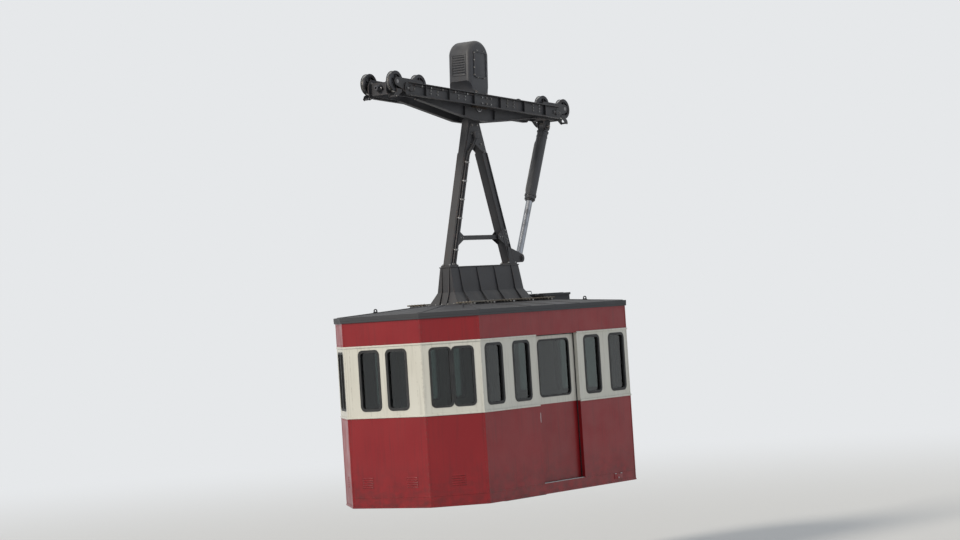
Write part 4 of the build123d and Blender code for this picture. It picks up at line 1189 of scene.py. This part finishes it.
def desk_controls():
    """Plate with push buttons, two dials and a lever on the desk's slope, and a handset on its side."""
    plate, dark, caps = bmesh.new(), bmesh.new(), bmesh.new()
    back, top = cabin_half_x - wall, floor + 0.960
    front = back - 0.300
    slope = along((front, 0, top - 0.140), (back - 0.060, 0, top), (0, 1, 0))[0]
    face = slope @ move(0, 0, 0.139) @ turn(-90, "Y")
    block(plate, (-0.110, -0.270, -0.001), (0.110, 0.270, 0.003), face, 0.001)
    for y, x in product((-0.22, -0.17, -0.12, -0.07), (-0.05, 0.0, 0.05)):
        rod(dark, (x, y, 0.003), (x, y, 0.007), 0.014, 20, face)
        rod(caps, (x, y, 0.007), (x, y, 0.012), 0.010, 20, face, 0.009)
    for y in (0.06, 0.17):
        rod(dark, (0.03, y, 0.003), (0.03, y, 0.010), 0.042, 32, face, 0.038)
        rod(plate, (0.03, y, 0.010), (0.03, y, 0.0105), 0.033, 32, face)
    rod(plate, (-0.06, 0.11, 0.003), (-0.05, 0.11, 0.095), 0.006, 12, face)
    rod(dark, (-0.050, 0.11, 0.090), (-0.047, 0.11, 0.118), 0.016, 20, face, 0.012)
    handset = move(front + 0.16, 0.320, top - 0.255)
    block(dark, (-0.030, -0.001, -0.085), (0.030, 0.018, 0.085), handset, 0.006)
    block(dark, (-0.015, 0.026, -0.060), (0.015, 0.042, 0.060), handset, 0.006)
    for s in both:
        block(dark, (-0.025, 0.016, s * 0.050), (0.025, 0.042, s * 0.080), handset, 0.008)
    finish_piece(plate, "desk_plate", "cabin", anodised)
    finish_piece(dark, "desk_dark_parts", "cabin", gasket_rubber)
    finish_piece(caps, "desk_button_caps", "cabin", opal_cover)


def safety_locker():
    """Extinguisher in a clamp beside a locker for the lowering gear, against the uphill end wall."""
    red, dark, steel = bmesh.new(), bmesh.new(), bmesh.new()
    place = move(wall - cabin_half_x + 0.085, 0, floor)
    bottle = [(0.0, 0.0), (0.0, 0.066), (0.012, 0.075), (0.34, 0.075),
              (0.385, 0.055), (0.405, 0.026), (0.405, 0.0)]
    turned(red, bottle, place @ move(0, 0.46, 0.10) @ turn(90, "X"), 40)
    rod(dark, (0, 0.46, 0.50), (0, 0.46, 0.545), 0.020, 20, place)
    block(dark, (-0.012, 0.40, 0.540), (0.012, 0.50, 0.556), place, 0.004)
    rod(dark, (0, 0.46, 0.525), (0.050, 0.46, 0.515), 0.009, 16, place, 0.013)
    block(steel, (-0.085, 0.370, 0.30), (0.079, 0.550, 0.322), place, 0.002)
    block(red, (-0.084, -0.52, 0.001), (0.215, 0.26, 0.44), place, 0.010)
    block(dark, (0.214, -0.165, 0.33), (0.224, -0.095, 0.37), place, 0.003)
    for y in (-0.42, 0.16):
        rod(steel, (-0.060, y - 0.04, 0.446), (-0.060, y + 0.04, 0.446), 0.007, 12, place)
    finish_piece(red, "extinguisher_and_locker", "cabin", plain_enamel)
    finish_piece(dark, "extinguisher_head", "cabin", gasket_rubber)
    finish_piece(steel, "extinguisher_clamp", "cabin", zinc_steel)


hand_rails()
ceiling_lamps()
desk_controls()
safety_locker()


# Underside: stringers, trimmers at the floor hatch, pipes, bolts of the frame, and the gear box's lid
def underframe_details():
    beams, steel, pipes = bmesh.new(), bmesh.new(), bmesh.new()
    low, high, beside = floor - 0.110, floor - 0.0595, floor_hatch_half + 0.035
    bends = ((0.20, 0.255, -0.04), (0.20, 0.32, -0.03), (0.20, 0.46, -0.014), (0.10, 0.505, -0.012),
             (-0.60, 0.505, -0.012), (-1.50, 0.505, -0.012), (-1.80, 0.505, 0.004), (-1.84, 0.505, 0.05))
    for s in both:
        for x0, x1, y in ((-1.862, -1.038, beside), (1.038, 1.862, 0.200),
                          (-1.862, -1.038, 0.860), (-0.962, 0.962, 0.860), (1.038, 1.862, 0.860)):
            block(beams, (x0, s * y - 0.020, low), (x1, s * y + 0.020, high), edge=0.002)
        x = floor_hatch_x + s * beside
        block(beams, (x - 0.020, -0.316, low), (x + 0.020, 0.316, high), edge=0.002)
        for x in (-1.90, -1.00, 1.00, 1.90):
            bolt_grid(steel, (x - 0.018, x + 0.018), (s * 0.505, s * 0.615), (skirt,), (0, 0, -1), 0.009)
        bolt_grid(steel, (0.0, 0.2, 0.4, 0.6, 0.8), (s * 0.260,), (skirt - 0.020,), (0, s, 0), 0.009)
        pipe(pipes, [(x, s * y, skirt + dz) for x, y, dz in bends], 0.010)
        for x in (-0.30, -0.75, -1.20, -1.65):
            block(steel, (x - 0.012, s * 0.488, skirt - 0.024), (x + 0.012, s * 0.530, skirt), edge=0.003)
    finish_piece(beams, "floor_stringers", "cabin", frame_paint)
    finish_piece(steel, "underframe_bolts", "cabin", zinc_steel)
    finish_piece(pipes, "underframe_pipes", "cabin", zinc_steel)


def gear_box_lid():
    """Flanged lid round the box's foot, two latches on each side and a drain plug."""
    lid, metal = bmesh.new(), bmesh.new()
    half_x, half_y = 0.500, 0.260
    box = move(0.400, 0, skirt - 0.060)
    for s in both:
        block(lid, (0.04 - half_x, s * (half_y - 0.002), -0.010),
              (half_x - 0.04, s * (half_y + 0.012), 0.010), box, 0.003)
        block(lid, (s * (half_x - 0.002), 0.04 - half_y, -0.010),
              (s * (half_x + 0.012), half_y - 0.04, 0.010), box, 0.003)
        for x in (-0.25, 0.25):
            block(metal, (x - 0.020, s * half_y, -0.045),
                  (x + 0.020, s * (half_y + 0.018), 0.035), box, 0.004)
            pin_y = s * (half_y + 0.014)
            rod(metal, (x - 0.026, pin_y, 0.030), (x + 0.026, pin_y, 0.030), 0.006, 12, box)
    bolt(metal, (-half_x, 0.12, -0.025), (-1, 0, 0), 0.014, box)
    finish_piece(lid, "gear_box_lid", "cabin", cover_paint)
    finish_piece(metal, "gear_box_latches", "cabin", zinc_steel)


underframe_details()
gear_box_lid()


# Hanger: gussets, leg edges, conduits, bolts and the damper's foot
def leg_x(z):
    """Distance of each leg's line from the middle at a height."""
    return foot_x * z / foot_z


def hanger_plates():
    bm = bmesh.new()
    knee_z = -0.62
    knee = leg_x(knee_z)
    cheek = [(-0.085, -0.215), (0.085, -0.215), (knee + 0.052, knee_z), (knee - 0.030, knee_z),
             (0.0, -0.50), (0.030 - knee, knee_z), (-knee - 0.052, knee_z)]
    gusset = [(-0.045, 0.11), (0.010, 0.11), (0.072, -0.10),
              (-0.035, -0.10), (-0.165, -0.025), (-0.165, 0.025)]
    for s in both:
        near, far = s * leg_side, s * (leg_side + 0.010)
        outline_plate(bm, cheek, near, far)
        for side in both:
            outline_plate(bm, [(side * (leg_x(tie_z) + dx), tie_z + dz) for dx, dz in gusset], near, far)
            for dx in (-leg_half * 0.9, leg_half * 0.9):
                a = (side * knee + dx, s * (leg_side + 0.003), knee_z)
                b = (side * foot_x + dx, s * (leg_side + 0.003), foot_z)
                bar(bm, a, b, 0.014, 0.010, (0, s, 0))
    finish_piece(bm, "hanger_plates", "cabin", frame_paint)


def hanger_conduits():
    """Two painted steel conduits down the uphill leg, from a box on the head to glands at the foot."""
    tubes, clips = bmesh.new(), bmesh.new()
    over_bolts, beside_leg = -leg_side - 0.040, -leg_side - 0.020
    foot_y = beside_leg + 0.007
    for dx in (0.018, -0.018):
        points = [(dx - 0.02, over_bolts, -0.42), (dx - 0.10, over_bolts, -0.54)]
        points += [(dx - leg_x(-0.60), over_bolts, -0.60)]
        points += [(dx - leg_x(z), beside_leg, z) for z in (-0.72, -0.95, -1.30, -1.65, -1.95, -2.04)]
        pipe(tubes, [*points, (dx - foot_x, foot_y, foot_z - 0.004)], 0.011)
        rod(clips, (dx - foot_x, foot_y, foot_z), (dx - foot_x, foot_y, foot_z + 0.026), 0.0125, 6)
    for z in (-0.75, -1.00, -1.25, -1.50, -1.92):
        x, y = -leg_x(z), -leg_side - 0.034
        block(clips, (x - 0.040, y, z - 0.012), (x + 0.040, -leg_side - 0.001, z + 0.012), edge=0.003)
        bolt_grid(clips, (x - 0.034, x + 0.034), (y,), (z,), (0, -1, 0), 0.005)
    block(tubes, (-0.056, -leg_side - 0.058, -0.43), (0.036, -leg_side - 0.001, -0.335), edge=0.005)
    finish_piece(tubes, "hanger_conduits", "cabin", frame_paint)
    finish_piece(clips, "hanger_conduit_clips", "cabin", zinc_steel)


def hanger_bolts():
    """Bolts of the head's cheek plates and the tie's gussets."""
    bm = bmesh.new()
    cheek = ((0.055, -0.245), (0.075, -0.36), (0.115, -0.50), (0.19, -0.60))
    gusset = ((-0.012, 0.085), (0.004, 0.035), (0.020, -0.035),
              (0.034, -0.080), (-0.135, 0.0), (-0.085, 0.0))
    for s, side in product(both, both):
        y, out = s * (leg_side + 0.010), (0, s, 0)
        for x, z in cheek:
            bolt(bm, (side * x, y, z), out, 0.012)
        for dx, dz in gusset:
            bolt(bm, (side * (leg_x(tie_z) + dx), y, tie_z + dz), out, 0.010)
    finish_piece(bm, "hanger_bolts", "cabin", zinc_steel)


def damper_foot_rings():
    """Weld-on boss round the damper's lower bolt on each ear, with a keeper plate."""
    bm = bmesh.new()
    x, z = damper_foot
    boss = [(0.062, 0.0325), (0.062, 0.050), (0.068, 0.048), (0.068, 0.0325)]
    for s in both:
        turned(bm, [(s * y, r) for y, r in boss], move(x, 0, z), 40)
        block(bm, (x - 0.020, s * 0.078, z - 0.012), (x + 0.020, s * 0.086, z + 0.012), edge=0.002)
    finish_piece(bm, "damper_foot_rings", "cabin", frame_paint)


hanger_plates()
hanger_conduits()
hanger_bolts()
damper_foot_rings()

# Floor, backdrop and light
backdrop_colour = "#E6E8EA"


def seen_directly(tree):
    """Mask of rays from the camera, from gloss and through glass, which see the pale backdrop."""
    rays = add_node(tree, "LightPath").node.outputs
    seen, through, mirrored = rays["Is Camera Ray"], rays["Is Transmission Ray"], rays["Is Glossy Ray"]
    clear = add_node(tree, "Math", {0: seen, 1: through}, operation="MAXIMUM")
    return add_node(tree, "Math", {0: clear, 1: mirrored}, operation="MAXIMUM")


def make_floor():
    """Pale floor that fades into the backdrop from 9 m on, and still takes the object's shadow."""
    bm = bmesh.new()
    bmesh.ops.create_circle(bm, cap_ends=True, segments=64, radius=160,
                            matrix=move(0, 0, studio_floor_z))
    mesh = bpy.data.meshes.new("studio_floor")
    bm.to_mesh(mesh)
    bm.free()
    material, tree, surface, place = start_material("matt_floor_paint")
    mesh.materials.append(material)
    set_inputs(tree, surface, {"Base Color": "#DDDDDA", "Roughness": 0.9})
    distance = add_node(tree, "VectorMath", {0: place}, "Value", operation="LENGTH")
    far = add_node(tree, "MapRange", {"Value": distance, "From Min": 9.0, "From Max": 34.0},
                   interpolation_type="SMOOTHSTEP")
    share = add_node(tree, "Math", {0: far, 1: seen_directly(tree)}, operation="MULTIPLY")
    backdrop = add_node(tree, "Emission", {"Color": backdrop_colour, "Strength": 1.0})
    mixed = add_node(tree, "MixShader", {0: share, 1: surface.outputs[0], 2: backdrop})
    set_inputs(tree, tree.nodes["Material Output"], {"Surface": mixed})
    ground = link("studio_floor", mesh)


def make_sky():
    """Even daylight from all round at a plain level, with the pale backdrop seen in its place."""
    world = bpy.data.worlds.new("studio")
    bpy.context.scene.world = world
    world.use_nodes = True
    tree = world.node_tree
    tree.nodes.remove(tree.nodes["Background"])
    light = add_node(tree, "Background", {"Color": "#E4E9F0", "Strength": 0.58})
    backdrop = add_node(tree, "Background", {"Color": backdrop_colour, "Strength": 1.0})
    mixed = add_node(tree, "MixShader", {0: seen_directly(tree), 1: light, 2: backdrop})
    set_inputs(tree, tree.nodes["World Output"], {"Surface": mixed})


def make_lamp(name, way, strength, softness, tint):
    """Distant lamp that shines along a direction, with soft shadows."""
    data = bpy.data.lights.new(name, "SUN")
    data.energy = strength
    data.angle = radians(softness)
    data.color = colour(tint)[:3]
    lamp = link(name, data)
    lamp.rotation_mode = "QUATERNION"
    lamp.rotation_quaternion = Vector(way).to_track_quat("-Z", "Y")


make_floor()
make_sky()
make_lamp("key", (0.88, -0.16, -0.52), 2.2, 14, "#FFF6EA")
make_lamp("fill", (-0.25, 0.90, -0.30), 0.22, 40, "#E8F0FF")

bpy.context.scene.view_settings.view_transform = "Standard"
